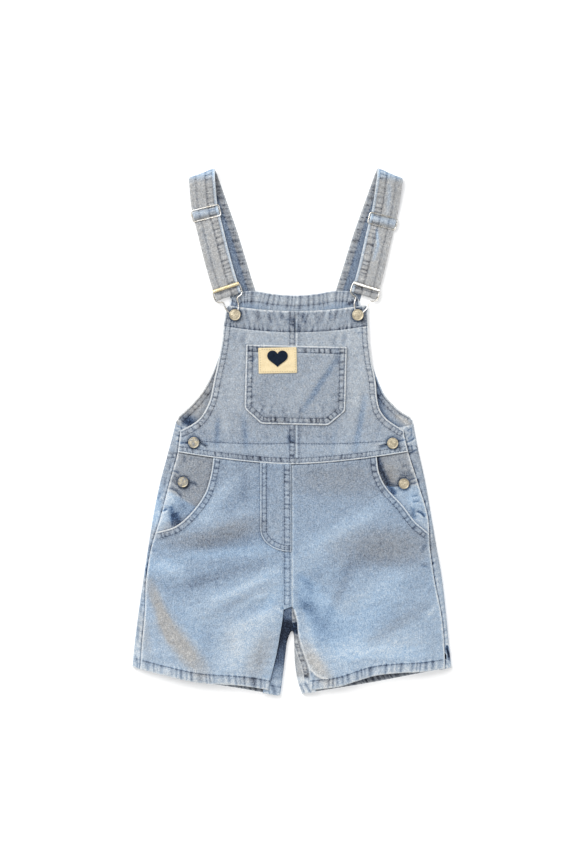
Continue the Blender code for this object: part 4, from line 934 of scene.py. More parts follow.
class Surface:
    """The middle of a piece of cloth, in joined parts."""

    def __init__(self):
        self.points, self.faces, self.tags, self.count = [], [], [], 0

    def add(self, points, faces, tag=ABOVE):
        """A part; its tag says where it lies."""
        points = np.asarray(points, np.float32).astype(float)
        self.points.append(points)
        self.faces.append(np.asarray(faces) + self.count)
        self.tags.append(np.full(len(points), tag))
        self.count += len(points)

    def chart(self, outline, level, step=GRID, rows=(), fine=None, tag=ABOVE):
        """A part laid out in plan and lifted to its height."""
        outline = np.asarray(outline, np.float32).astype(float)
        low, high = outline.min(0), outline.max(0)
        grid = net(low, high, step)
        if fine is not None:
            finer = net(low, high, GRID)
            grid = np.vstack([grid[~fine(grid)], finer[fine(finer)]])
        grid = grid[inside(grid, outline)]
        extra = [row[inside(row, outline)] for row in rows]
        extra = [row[~crowded(row, outline, EDGE_CLEAR)] for row in extra]
        kept = np.vstack([outline, *extra])
        grid = grid[~crowded(grid, kept, GRID_CLEAR)]
        flat = [Vector(p) for p in np.vstack([kept, grid]).tolist()]
        count = len(outline)
        edges = [(i, (i + 1) % count) for i in range(count)]
        placed, _, faces, _, _, _ = delaunay_2d_cdt(flat, edges, [list(range(count))], 1, 1e-6)
        plan = np.array([tuple(p) for p in placed])
        points = np.column_stack([plan, level(plan[:, 0], plan[:, 1])])
        faces = np.array(faces)
        self.add(points, faces[:, ::-1] if tag == ON_FLOOR else faces, tag)

    def roll(self, lower, upper, outward, below, above):
        """A half turn from a line on the floor layer to the line above it."""
        lower, upper = (np.asarray(p, np.float32).astype(float) for p in (lower, upper))
        z0, z1 = below(*lower.T), above(*upper.T)
        rings = []
        for k in range(ROLL_FACETS + 1):
            a = math.pi * k / ROLL_FACETS
            across = (1 - math.cos(a)) / 2
            plan = lower + (upper - lower) * across + outward * ROLL_BULGE * math.sin(a)
            rings.append(np.column_stack([plan, z0 + (z1 - z0) * across]))
        self.ribbon(rings, IN_ROLL)

    def ribbon(self, rows, tag=ABOVE):
        """A band from rows of points across it."""
        rows = np.array(rows)
        count, width = rows.shape[:2]
        at = np.arange(count * width).reshape(count, width)
        a, b, c, d = at[:-1, :-1], at[:-1, 1:], at[1:, 1:], at[1:, :-1]
        faces = np.vstack(
            [np.stack([a, b, c], -1).reshape(-1, 3), np.stack([a, c, d], -1).reshape(-1, 3)]
        )
        self.add(rows.reshape(-1, 3), faces, tag)

    def joined(self):
        """Everything as one surface: points, faces, tags, normals and boundary edges."""
        points, faces = np.vstack(self.points), np.vstack(self.faces)
        tags = np.concatenate(self.tags)
        key = merge_key(points)
        _, first, index = np.unique(key, axis=0, return_index=True, return_inverse=True)
        index = index.reshape(-1)
        points, tags, faces = points[first], tags[first], index[faces]
        faces = faces[(faces != np.roll(faces, 1, axis=1)).all(1)]
        faces = aligned(faces, points, tags)
        corners = points[faces]
        square = np.cross(corners[:, 1] - corners[:, 0], corners[:, 2] - corners[:, 0])
        normals = np.zeros_like(points)
        for i in range(3):
            np.add.at(normals, faces[:, i], square)
        normals /= np.maximum(np.linalg.norm(normals, axis=1), 1e-9)[:, None]
        edges = np.vstack([faces[:, [0, 1]], faces[:, [1, 2]], faces[:, [2, 0]]])
        size = len(points)
        code = edges.min(1) * size + edges.max(1)
        _, back, uses = np.unique(code, return_inverse=True, return_counts=True)
        return points, faces, tags, normals, edges[uses[back.reshape(-1)] == 1]


def aligned(faces, points, tags):
    """Faces of rolls turned to agree with the parts that they join."""
    if not (tags == IN_ROLL).any():
        return faces
    mesh = bpy.data.meshes.new("aligned")
    mesh.from_pydata(points.tolist(), [], faces.tolist())
    shape = bmesh.new()
    shape.from_mesh(mesh)
    bmesh.ops.recalc_face_normals(shape, faces=shape.faces)
    made = np.array([[v.index for v in f.verts] for f in shape.faces])
    floor = [f for f in shape.faces if all(tags[v.index] == ON_FLOOR for v in f.verts)]
    upwards = sum(f.normal.z for f in floor) > 0
    shape.free()
    bpy.data.meshes.remove(mesh)
    return made[:, ::-1] if upwards else made


def net(low, high, step):
    """A triangular net of points over a rectangle."""
    rows = np.arange(low[1], high[1], step * math.sqrt(0.75))
    across = np.arange(low[0], high[0], step)
    x = across[None] + (np.arange(len(rows)) % 2)[:, None] * step / 2
    return np.column_stack([x.ravel(), np.broadcast_to(rows[:, None], x.shape).ravel()])


FLOOR_GAP = 0.03  # nothing comes closer to the floor than this


def wall(name, surface, look, outer, inner, thickness=WALL, rim=RIM):
    """A closed shell round a surface. outer and inner give, for the points, the tags and
    the middle's own points, each face's (height, wash, grey)."""
    points, faces, tags, normals, border = surface.joined()
    half = thickness / 2
    out_height, *out_paint = outer(points, tags)
    in_height, *in_paint = inner(points, tags)
    top = points + normals * (half + out_height)[:, None]
    bottom = points - normals * (half + in_height)[:, None]
    ends = np.unique(border)
    place = np.full(len(points), -1)
    place[ends] = np.arange(len(ends))
    away = np.zeros((len(points), 3))
    run = points[border[:, 1]] - points[border[:, 0]]
    square = np.cross(run, normals[border[:, 0]])
    for i in (0, 1):
        np.add.at(away, border[:, i], square)
    away = away[ends]
    away /= np.maximum(np.linalg.norm(away, axis=1), 1e-9)[:, None]
    bulge = np.full(len(ends), rim) if np.isscalar(rim) else rim(points[ends])
    rings = []
    for share in (0.6, -0.6):
        reach = half + np.where(share > 0, out_height, in_height)[ends]
        rings.append(
            points[ends] + away * bulge[:, None] * 0.9 + normals[ends] * (share * reach)[:, None]
        )
    count, ring = len(points), len(ends)
    first, second = place[border[:, 0]], place[border[:, 1]]
    a, b = border[:, 0], border[:, 1]
    levels = [
        (a, b),
        (2 * count + first, 2 * count + second),
        (2 * count + ring + first, 2 * count + ring + second),
        (count + a, count + b),
    ]
    all_faces = [faces, faces[:, ::-1] + count]
    for (a0, b0), (a1, b1) in zip(levels, levels[1:]):
        all_faces.append(np.column_stack([b0, a0, a1]))
        all_faces.append(np.column_stack([b0, a1, b1]))
    shell = np.vstack([top, bottom, *rings])
    shell[:, 2] = np.maximum(shell[:, 2], FLOOR_GAP)
    made = mesh_object(name, shell, np.vstack(all_faces), look)
    paint = np.ones((2 * count + 2 * ring, 4))
    for i in (0, 1):
        paint[:count, i] = out_paint[i]
        paint[count : 2 * count, i] = in_paint[i]
        paint[2 * count : 2 * count + ring, i] = out_paint[i][ends]
        paint[2 * count + ring :, i] = (out_paint[i][ends] + in_paint[i][ends]) / 2
    wash = made.data.attributes.new("wash", "FLOAT_COLOR", "POINT")
    wash.data.foreach_set("color", np.clip(paint, 0, 1).astype(np.float32).ravel())
    return made


def mesh_object(name, points, faces, look):
    """An object from points in millimetres."""
    mesh = bpy.data.meshes.new(name)
    mesh.from_pydata((np.asarray(points) * MM).tolist(), [], np.asarray(faces).tolist())
    mesh.shade_smooth()
    mesh.materials.append(look)
    made = bpy.data.objects.new(name, mesh)
    bpy.context.scene.collection.objects.link(made)
    return made


# ------------------------------------------------------------ front outlines
def front_bib(side):
    """One half of the front bib, from its centre seam to the armhole."""
    middle = BIB_CENTRE_X + OUTWARD[side] * SEAM_GAP / 2
    corner_y, armhole_y = FRONT_BIB_SIDE[0][0], FRONT_BIB_SIDE[-1][0]
    corner_x = FRONT_BIB[side](corner_y)
    low_y = meet(SEAM[side], waist, BACK_WAIST_Y)
    return loop_of(
        level_line(front_bib_top, middle, corner_x - OUTWARD[side] * BIB_CORNER),
        side_line(FRONT_BIB[side], corner_y, armhole_y),
        side_line(SEAM[side], armhole_y - ARMHOLE_CORNER, low_y),
        level_line(waist, SEAM[side](low_y), middle),
        resampled([(middle, waist(middle)), (middle, front_bib_top(middle))]),
    )


def front_leg(side):
    """A front leg with its curved pocket edge."""
    middle = OUTWARD[side] * SEAM_GAP / 2
    pocket = POCKET[side]
    side_y = meet(SEAM[side], column(POCKET_TABLE[side], 1), pocket[-1, 1])
    pocket = pocket[np.abs(pocket[:, 0]) < abs(SEAM[side](side_y)) - 1.0]
    hem_y = meet(SEAM[side], FRONT_HEM[side], HEM_Y)
    inner_y = meet(INSEAM[side], FRONT_HEM[side], INSEAM_END_Y)
    return loop_of(
        level_line(leg_top, middle, pocket[0, 0]),
        pocket,
        side_line(SEAM[side], side_y, hem_y),
        level_line(FRONT_HEM[side], SEAM[side](hem_y), INSEAM[side](inner_y)),
        side_line(INSEAM[side], inner_y, INSEAM_TOP_Y),
        resampled([(INSEAM[side](INSEAM_TOP_Y), INSEAM_TOP_Y), (middle, CROTCH_Y)]),
        resampled([(middle, CROTCH_Y), (middle, leg_top(middle))]),
    )


def hip_panel(side):
    """The piece behind the curved pocket edge, which carries the hip button."""
    hidden = offset_line(POCKET[side], POCKET_FACING * -OUTWARD[side])[:-1]
    hidden = hidden[np.abs(hidden[:, 0]) < np.abs(SEAM[side](hidden[:, 1])) - 4.0]
    side_y = meet(SEAM[side], leg_top, BACK_WAIST_Y)
    low_x = SEAM[side](HIP_PANEL_END_Y)
    return loop_of(
        level_line(leg_top, hidden[0, 0], SEAM[side](side_y)),
        side_line(SEAM[side], side_y, HIP_PANEL_END_Y),
        [(low_x - OUTWARD[side] * 8.0, HIP_PANEL_END_Y)],
        hidden[::-1],
    )


def fly_side():
    """The fly's outer edge, down and round to the centre seam."""
    inner, outer = FLY_SIDES
    bend_y = FLY_END_Y + FLY_CURVE
    quarter = [
        (inner + (outer - inner) * math.cos(a), bend_y - FLY_CURVE * math.sin(a))
        for a in np.linspace(0, math.pi / 2, 26)
    ]
    return np.vstack([resampled([(outer, waist(outer) - FLY_TOP_GAP), (outer, bend_y)]), quarter])


def fly():
    inner, outer = FLY_SIDES
    return loop_of(
        level_line(waist, inner, outer, shift=-FLY_TOP_GAP),
        fly_side(),
        resampled([(inner, FLY_END_Y), (inner, waist(inner) - FLY_TOP_GAP)]),
    )


def pocket_corners():
    """The bib pocket's corners, from its top left down and round to its top right."""
    w, h = BIB_POCKET_SIZE[0] / 2, BIB_POCKET_SIZE[1] / 2
    cut_x, cut_y = BIB_POCKET_CHAMFER
    return [(-w, h), (-w, cut_y - h), (cut_x - w, -h), (w - cut_x, -h), (w, cut_y - h), (w, h)]


def pocket_line(corners):
    """Straight stretches between corners, each corner a little rounded."""
    corners = np.array(corners, float)
    line = [corners[:1]]
    for before, at, after in zip(corners, corners[1:], corners[2:]):
        a = at + (before - at) / np.linalg.norm(before - at) * 3.0
        b = at + (after - at) / np.linalg.norm(after - at) * 3.0
        t = np.linspace(0, 1, 6)[:, None]
        line.append(a * (1 - t) ** 2 + 2 * at * t * (1 - t) + b * t**2)
    line.append(corners[-1:])
    return turned(resampled(np.vstack(line)), BIB_POCKET_CENTRE, BIB_POCKET_TURN)


def pocket_mouth():
    """The two ends of the pocket's open top edge."""
    ends = [pocket_corners()[-1], pocket_corners()[0]]
    return turned(ends, BIB_POCKET_CENTRE, BIB_POCKET_TURN)


def bib_pocket():
    return loop_of(pocket_line(pocket_corners()), resampled(pocket_mouth()))


def patch():
    w, h = PATCH_SIZE[0] / 2, PATCH_SIZE[1] / 2
    closed = [(-w, h), (-w, -h), (w, -h), (w, h), (-w, h)]
    sides = [resampled([a, b], 0.9) for a, b in zip(closed, closed[1:])]
    return turned(loop_of(*sides), PATCH_CENTRE, PATCH_TURN)


def heart():
    """A plain heart, from the usual sine and cosine formula."""
    t = np.linspace(0, 2 * math.pi, 90, endpoint=False)
    x = 16 * np.sin(t) ** 3
    y = 13 * np.cos(t) - 5 * np.cos(2 * t) - 2 * np.cos(3 * t) - np.cos(4 * t)
    low = y < 0
    x, y = np.where(low, 16 * np.sign(x) * np.abs(x / 16) ** 0.82, x), np.where(low, 0.8 * y, y)
    return np.column_stack([x, y]) * HEART_WIDTH / 32.0 + HEART_CENTRE


# ------------------------------------------------------------ back pieces
def outward_of(line, hint):
    """Unit directions square to a line, on the side of the hint."""
    square = offset_line(line, 1.0) - line
    return square * np.sign(square @ np.array(hint))[:, None]


def hidden_edge(side):
    """x by y of the rolled back's inner edge, under the front."""
    return lambda y: SEAM[side](y) - OUTWARD[side] * underlap(y)


def back_bib(rows):
    """The back bib with both of its buttoned underlaps."""
    surface = Surface()
    corner_y, armhole_y = BACK_BIB_SIDE[0][0], BACK_BIB_SIDE[-1][0]
    low_y = BACK_WAIST_Y + SEAM_GAP / 2
    drop, slant = ARMHOLE_TURN
    folds = {}
    for side, out in OUTWARD.items():
        from_y = armhole_y - ARMHOLE_CORNER
        lower = side_line(OUTLINE[side], from_y, low_y, shift=-out * FOLD_INSET)
        folds[side] = lower
        upper = lower.copy()
        upper[:, 1] -= drop * np.linspace(1, 0, len(upper)) ** 2
        square = outward_of(lower, (out, 0.0))
        surface.roll(lower, upper, square, back_bib_level, rolled_level)
        edge = side_line(hidden_edge(side), upper[0, 1] - slant, low_y)
        low, top = resampled([upper[-1], edge[-1]]), resampled([edge[0], upper[0]])
        outline = loop_of(upper, low, edge[::-1], top)
        surface.chart(outline, rolled_level, rows=rows["return_" + side])
    outline = loop_of(
        curve_through(BACK_BIB_TOP),
        side_line(BACK_BIB["right"], corner_y, armhole_y),
        folds["right"],
        resampled([folds["right"][-1], folds["left"][-1]], COARSE),
        folds["left"][::-1],
        side_line(BACK_BIB["left"], armhole_y, corner_y),
    )

    def seen(p):
        """Above the front bib and in the armholes, where the net has to be fine."""
        armholes = (p[:, 1] > 10.0) & ((p[:, 0] < -68.0) | (p[:, 0] > 74.0))
        return (p[:, 1] > 132.0) | armholes

    surface.chart(outline, back_bib_level, COARSE, rows["floor"], seen, tag=ON_FLOOR)
    return surface


def with_vent(edge, side):
    """The rolled back's inner edge, cut in towards the fold at the hem vent."""
    top, bottom = VENT
    above = edge[edge[:, 1] > top + VENT_CORNER]
    below = edge[edge[:, 1] < bottom - VENT_CORNER]
    x = OUTLINE[side](bottom) - OUTWARD[side] * VENT_DEPTH
    cut = [(above[-1, 0], top), (x, bottom + VENT_CORNER), (x, bottom), (below[0, 0], bottom)]
    return np.vstack([above, cut, below])


def at_back_hem(p):
    """Where the inside of a back leg shows below the front's hem."""
    return p[:, 1] < -272.0


def notch_line(side):
    """The fold line round the crotch, from the centre seam down to the hem."""
    out = OUTWARD[side]
    arch_y = NOTCH_Y + FOLD_INSET
    arch = [(out * x, arch_y - drop) for x, drop in NOTCH_ARCH]

    def fold(y):
        return NOTCH_SIDE[side](y) + out * FOLD_INSET

    low_y = meet(fold, BACK_HEM[side], INSEAM_END_Y)
    return np.vstack([arch, side_line(fold, NOTCH[0][0], low_y)])


def back_leg(side, rows):
    """A back leg: flat on the floor, rolled up at the side and round the crotch."""
    surface = Surface()
    out = OUTWARD[side]
    middle = out * SEAM_GAP / 2
    top_y = BACK_WAIST_Y - SEAM_GAP / 2

    hidden = hidden_edge(side)

    def fold(y):
        return OUTLINE[side](y) - out * FOLD_INSET

    def lap(y):
        return INSEAM[side](y) + out * SEAM_LAP

    outer = side_line(fold, top_y, meet(fold, BACK_HEM[side], HEM_Y))
    inner = notch_line(side)
    floor = loop_of(
        resampled([(middle, top_y), outer[0]], COARSE),
        outer,
        level_line(BACK_HEM[side], outer[-1, 0], inner[-1, 0]),
        inner[::-1],
        resampled([inner[0], (middle, top_y)], COARSE),
    )
    surface.chart(floor, floor_level, COARSE, rows["floor"], at_back_hem, tag=ON_FLOOR)
    surface.roll(outer, outer, outward_of(outer, (out, 0.0)), floor_level, rolled_level)
    edge = side_line(hidden, top_y, meet(hidden, BACK_HEM[side], HEM_Y))
    if side == "right":
        edge = with_vent(edge, side)
    outline = loop_of(
        outer,
        level_line(BACK_HEM[side], outer[-1, 0], edge[-1, 0]),
        edge[::-1],
        resampled([edge[0], outer[0]]),
    )
    surface.chart(outline, rolled_level, rows=rows["return"])
    square = outward_of(inner, (-out, -0.4))
    square[:2] = (0.0, -1.0)
    surface.roll(inner, inner, square, floor_level, rolled_level)
    lapped = side_line(lap, meet(lap, BACK_HEM[side], INSEAM_END_Y), INSEAM_TOP_Y)
    outline = loop_of(
        inner,
        level_line(BACK_HEM[side], inner[-1, 0], lapped[0, 0]),
        lapped,
        [(lapped[-1, 0], CROTCH_Y + SEAM_LAP)],
        [(middle, CROTCH_Y + SEAM_LAP)],
    )
    surface.chart(outline, rolled_level, rows=rows["return"])
    return surface


# ------------------------------------------------------------ straps
class Strap:
    """The path of one strap: up the back, over the bend, and down to the buckle."""

    def __init__(self, side):
        places = STRAPS[side]
        names = ("base", "bend", "slider", "bar", "button")
        self.base, bend, slider, bar, button = (np.array(places[k]) for k in names)
        self.bend, self.inner = bend, places["inner"]
        beyond = (button - bar) / np.linalg.norm(button - bar)
        slants = np.radians(places["slants"])
        downs = [np.array([math.sin(a), -math.cos(a)]) for a in slants] + [beyond]
        line = [bend]
        for (a, b), (da, db) in zip(((bend, slider), (slider, bar)), zip(downs, downs[1:])):
            length = np.linalg.norm(b - a)
            for t in np.linspace(0, 1, CURVE_ROWS + 1)[1:]:
                line.append(hermite(a, b, da * length, db * length, t))
        line.append(bar + beyond * BELOW_BAR)
        self.line = np.array(line)
        self.along = lengths(self.line)
        self.slider_at = self.along[CURVE_ROWS]
        self.bar_at = self.along[2 * CURVE_ROWS]
        self.grid = self.rows()
        self.down = lengths(self.grid[:, STRAP_COLUMNS // 2])
        self.bend_at = self.down[BACK_ROWS + BEND_ROWS // 2]
        self.front_at = self.down[BACK_ROWS + BEND_ROWS - 1]

    def front(self, s):
        """A point of the front part's middle line and the direction down it."""
        reach = STRAP_WIDTH / 8
        place, after, before = (
            np.array([np.interp(s + by, self.along, self.line[:, i]) for i in (0, 1)])
            for by in (0.0, reach, -reach)
        )
        run = after - before
        return place, run / np.linalg.norm(run)

    def bend_radius(self, w):
        """The bend is a cone, tighter at the strap's outer edge."""
        share = 0.5 + self.inner * w / STRAP_WIDTH
        return BEND_RADIUS[0] + (BEND_RADIUS[1] - BEND_RADIUS[0]) * share

    def across(self, direction):
        """The direction across the strap, towards +X."""
        return np.array([-direction[1], direction[0]]) * np.sign(-direction[1])

    def rows(self):
        """Rows of points across the strap, evenly down all of it."""
        widths = np.linspace(-0.5, 0.5, STRAP_COLUMNS + 1) * STRAP_WIDTH
        up = (self.bend - self.base) / np.linalg.norm(self.bend - self.base)
        rows = []
        for t in np.linspace(0, 1, BACK_ROWS):
            place = self.base + (self.bend - self.base) * t
            bow = self.inner * BACK_BOW * smoothstep(t / 0.6)
            rows.append([(*(place + self.across(-up) * (w + bow)), FLOOR_LEVEL) for w in widths])
        _, down = self.front(STRAP_WIDTH / 8)
        first, last = self.across(-up), self.across(down)
        for a in np.linspace(0, math.pi, BEND_ROWS + 1)[1:]:
            cross = first + (last - first) * a / math.pi
            cross /= np.linalg.norm(cross)
            ahead = np.array([-cross[1], cross[0]])
            row = []
            bow = self.inner * BACK_BOW * (1 - a / math.pi)
            for w in widths:
                radius = self.bend_radius(w)
                plan = self.bend + cross * (w + bow) + ahead * radius * math.sin(a)
                row.append((*plan, FLOOR_LEVEL + radius * (1 - math.cos(a))))
            rows.append(row)
        for s, z, bent in self.front_profile():
            place, direction = self.front(s)
            cross = self.across(direction)
            tops = [FLOOR_LEVEL + 2 * self.bend_radius(w) for w in widths]
            heights = [z + bent * (top - z) for top in tops]
            rows.append([(*(place + cross * w), h) for w, h in zip(widths, heights)])
        return np.array(rows)

    def front_profile(self):
        """(distance from the bend, height, share of the bend's height) down the front,
        through the slider, round the buckle's bar, and back up to the slider's bar."""
        wrap = WIRE_RADIUS + SEAM_GAP + CLOTH / 2
        hook = SLIDER_BAR_RADIUS + SEAM_GAP + CLOTH / 2
        passed, below = SLIDER_LEVEL - wrap, BUCKLE_LEVEL - wrap
        slider, bar = self.slider_at, self.bar_at
        start = slider - OVER_SLIDER[0][0]
        settling = [(t * start, passed, 1 - float(smoothstep(t))) for t in np.linspace(0, 1, 26)]
        flat = [(slider - v, passed + z) for v, z in OVER_SLIDER]
        flat += [(slider + v, passed + z) for v, z in reversed(OVER_SLIDER[:-1])]
        end, next_start = flat[-1][0], bar + OVER_BUCKLE[0][0]
        for t in (0.25, 0.5, 0.75):
            flat.append((end + (next_start - end) * t, passed + (below - passed) * t))
        flat += [(bar + v, below + z) for v, z in OVER_BUCKLE]
        for a in np.linspace(math.pi / 2, -math.pi / 2, 9):
            around = bar + CROSSBAR_AT + wrap * math.cos(a)
            flat.append((around, BUCKLE_LEVEL + wrap * math.sin(a)))
        flat += [(bar + v, below + z) for v, z in BEHIND_BUCKLE]
        flat += [(slider + v, passed + z) for v, z in BEHIND_SLIDER]
        for a in np.linspace(-math.pi / 2, -3 * math.pi / 2, 9):
            flat.append((slider + hook * math.cos(a), SLIDER_LEVEL + hook * math.sin(a)))
        flat = rounded(rounded(np.array(flat)))
        flat = resampled(flat, 1.5)
        return settling[1:] + [(s, z, 0.0) for s, z in flat[1:]]

    def surface(self):
        made = Surface()
        made.ribbon(self.grid[:, ::-1])
        return made


def quarters(a, b):
    """The points at a quarter and at three quarters from each a to its b, in turn."""
    return np.stack([a * 0.75 + b * 0.25, a * 0.25 + b * 0.75], 1).reshape(-1, a.shape[1])


def rounded(line):
    """A polyline with each corner cut at a quarter of its sides."""
    return np.vstack([line[:1], quarters(line[:-1], line[1:])[1:-1], line[-1:]])


STRAP = {side: Strap(side) for side in SIDES}


def placed_on_strap(strap, at, local, level):
    """Points given across and along the strap, placed at a distance down it."""
    place, direction = strap.front(at)
    cross = strap.across(direction)
    return np.array([(*(place + cross * u + direction * v), z + level) for u, v, z in local])


# ------------------------------------------------------------ materials
def srgb(*rgb):
    """A colour given in the usual 0 to 255 steps, as the shader takes it."""
    c = np.array(rgb, float) / 255.0
    return (*np.where(c <= 0.04045, c / 12.92, ((c + 0.055) / 1.055) ** 2.4), 1.0)


class Nodes:
    """A material's nodes, made and linked by short calls."""

    def __init__(self, name):
        self.material = bpy.data.materials.new(name)
        self.material.use_nodes = True
        self.tree = self.material.node_tree
        self.shader = self.tree.nodes["Principled BSDF"]

    def feed(self, socket, value):
        """Links a socket to another node's output, or gives it a plain value."""
        if isinstance(value, bpy.types.NodeSocket):
            self.tree.links.new(value, socket)
        else:
            socket.default_value = value

    def make(self, kind, inputs=(), **settings):
        node = self.tree.nodes.new(kind)
        for key, value in settings.items():
            setattr(node, key, value)
        for key, value in dict(inputs).items():
            self.feed(node.inputs[key], value)
        return node

    def place(self):
        return self.make("ShaderNodeTexCoord").outputs["Object"]

    def noise(self, scale, detail=2.0, rough=0.5, stretch=None):
        place = self.place()
        if stretch:
            place = self.make("ShaderNodeMapping", {"Vector": place, "Scale": stretch}).outputs[0]
        made = self.make(
            "ShaderNodeTexNoise",
            {"Vector": place, "Scale": scale, "Detail": detail, "Roughness": rough},
        )
        return made.outputs["Fac"]

    def math(self, operation, a, b=0.0, c=0.0):
        node = self.make("ShaderNodeMath", {0: a, 1: b, 2: c}, operation=operation)
        return node.outputs[0]

    def vary(self, value, noise, size):
        """The value, made lower and higher by a noise."""
        return self.math("MULTIPLY_ADD", self.math("SUBTRACT", noise, 0.5), size, value)

    def ramp(self, value, stops):
        """A colour by value, from (place, colour) stops."""
        node = self.make("ShaderNodeValToRGB", {"Fac": value})
        elements = node.color_ramp.elements
        while len(elements) < len(stops):
            elements.new(0.5)
        for element, (at, colour) in zip(elements, stops):
            element.position = at
            element.color = colour if len(colour) == 4 else srgb(*colour)
        return node.outputs["Color"]

    def mix(self, share, a, b):
        node = self.make("ShaderNodeMix", data_type="RGBA")
        for key, value in ((0, share), (6, a), (7, b)):
            self.feed(node.inputs[key], value)
        return node.outputs[2]

    def bump(self, height, distance, strength=1.0):
        node = self.make(
            "ShaderNodeBump", {"Height": height, "Distance": distance, "Strength": strength}
        )
        self.set(Normal=node.outputs["Normal"])

    def set(self, **values):
        """Inputs of the shader, with _ for the spaces in their names."""
        for key, value in values.items():
            self.feed(self.shader.inputs[key.replace("_", " ")], value)


BLUE_STOPS = (
    (0.0, (18, 30, 50)),
    (0.25, (70, 94, 128)),
    (0.5, (128, 154, 184)),
    (0.75, (170, 196, 222)),
    (1.0, (224, 234, 242)),
)
GREY_STOPS = (
    (0.0, (30, 32, 38)),
    (0.25, (92, 94, 98)),
    (0.5, (148, 149, 151)),
    (0.75, (186, 186, 185)),
    (1.0, (234, 233, 230)),
)


def denim(name, speckle=0.92):
    """Washed denim: the painted wash, with its speckle, slubs and mottling."""
    n = Nodes(name)
    paint = n.make("ShaderNodeAttribute", attribute_name="wash")
    channels = n.make("ShaderNodeSeparateColor", {"Color": paint.outputs["Color"]})
    wash, grey = channels.outputs[0], channels.outputs[1]
    grain = n.noise(760.0, 2.0, 0.7)
    slub = n.noise(1.0, 2.0, 0.5, (640.0, 260.0, 400.0))
    mottle = n.noise(120.0, 3.0, 0.6)
    blotch = n.noise(26.0, 2.0, 0.5)
    value = wash
    for source, size in ((grain, speckle), (slub, 0.3), (mottle, 0.14), (blotch, 0.05)):
        value = n.vary(value, source, size)
    share = n.vary(grey, n.noise(300.0, 2.0), 0.5)
    colour = n.mix(share, n.ramp(value, BLUE_STOPS), n.ramp(value, GREY_STOPS))
    n.set(Base_Color=colour, Roughness=0.88, Specular_IOR_Level=0.2)
    n.set(Sheen_Weight=0.12, Sheen_Roughness=0.5)
    twill = n.make(
        "ShaderNodeTexWave",
        {"Vector": n.place(), "Scale": 260.0, "Distortion": 1.2, "Detail": 1.0},
        bands_direction="DIAGONAL",
    )
    height = n.math("MULTIPLY_ADD", twill.outputs["Fac"], 0.35, grain)
    n.bump(height, 0.00016, 0.7)
    return n.material


def patch_look():
    """A smooth cream patch, faintly woven."""
    n = Nodes("cream_patch")
    grain = n.noise(700.0, 2.0)
    colour = n.ramp(grain, ((0.3, (236, 214, 168)), (0.7, (248, 230, 190))))
    n.set(Base_Color=colour, Roughness=0.62, Specular_IOR_Level=0.3)
    n.bump(n.noise(500.0, 3.0), 0.00012, 0.5)
    return n.material


def thread_look(name, dark, light):
    """Sewing thread or stitched fill, twisted and slightly uneven."""
    n = Nodes(name)
    colour = n.ramp(n.noise(420.0, 3.0), ((0.3, dark), (0.75, light)))
    n.set(Base_Color=colour, Roughness=0.8, Specular_IOR_Level=0.2)
    n.set(Sheen_Weight=0.1, Sheen_Roughness=0.5)
    n.bump(n.noise(1500.0, 2.0), 0.0001, 0.6)
    return n.material


def metal_look(name, dark, light, roughness=0.36):
    """Brushed plate, warm in places."""
    n = Nodes(name)
    colour = n.ramp(n.noise(240.0, 2.0), ((0.35, dark), (0.65, light)))
    rough = n.math("MULTIPLY_ADD", n.noise(900.0, 2.0), 0.2, roughness - 0.1)
    n.set(Base_Color=colour, Roughness=rough, Metallic=1.0)
    n.bump(n.noise(1300.0, 2.0), 0.00006, 0.5)
    return n.material


DENIM = denim("washed_denim")
STRAP_DENIM = denim("strap_denim_look", 1.05)
CREAM = patch_look()
NAVY = thread_look("navy_fill", (4, 20, 38), (14, 33, 54))
THREAD = thread_look("slate_thread", (52, 68, 92), (88, 104, 128))
HOLE_THREAD = thread_look("worn_thread", (92, 104, 122), (150, 160, 174))
CREAM_THREAD = thread_look("cream_thread", (136, 132, 122), (176, 170, 158))
METAL = metal_look("champagne_metal", srgb(177, 166, 144), srgb(211, 200, 175), 0.5)
DULL_METAL = metal_look("greyer_metal", srgb(152, 153, 154), srgb(202, 190, 162), 0.5)
WIRE_METAL = metal_look("bright_wire", srgb(218, 211, 198), srgb(240, 240, 239), 0.26)
# the buckle bars' metal with a painted warm reflection, used on the left bar only
WARM_REFLECTION_METAL = metal_look("bar_warm_reflection", srgb(222, 204, 160), srgb(238, 226, 196), 0.4)


# ------------------------------------------------------------ the seams of each piece
def double(**more):
    """A narrow hem with two rows of stitches and round puckers between them."""
    looks = {"stitches": (2.1, 7.4), "band": 8.4, "lift": 0.55, "edge": 0.46, "tint": 0.05}
    puffs = {"pucker": 0.22, "contrast": 0.24, "period": 6.4, "decay": 1.2, "slant": 0.12}
    return {**looks, **puffs, "crease": 0.34, **more}


POCKET_PATH = pocket_line(pocket_corners())
POCKET_MOUTH = pocket_mouth()
POCKET_BOTTOM = slice(44, -44)  # the part of the path without its upright sides
PATCH_OUTLINE = patch()
BIB_BAND = 24.3
WAIST_LINE = level_line(waist, -135.0, 137.0)
BUTTON_RING = 7.5


def above_pocket(x):
    """The y of the bib pocket's mouth at x."""
    return np.interp(x, POCKET_MOUTH[::-1, 0], POCKET_MOUTH[::-1, 1])


def shade_ring_round(place):
    """A ring of painted shade round a button, pressed a little into the cloth."""
    a = np.linspace(0, 2 * math.pi, 40)
    ring = np.column_stack([np.cos(a), np.sin(a)]) * BUTTON_RING + place
    return Seam(ring, marks=((0.0, 0.9, -0.3),))


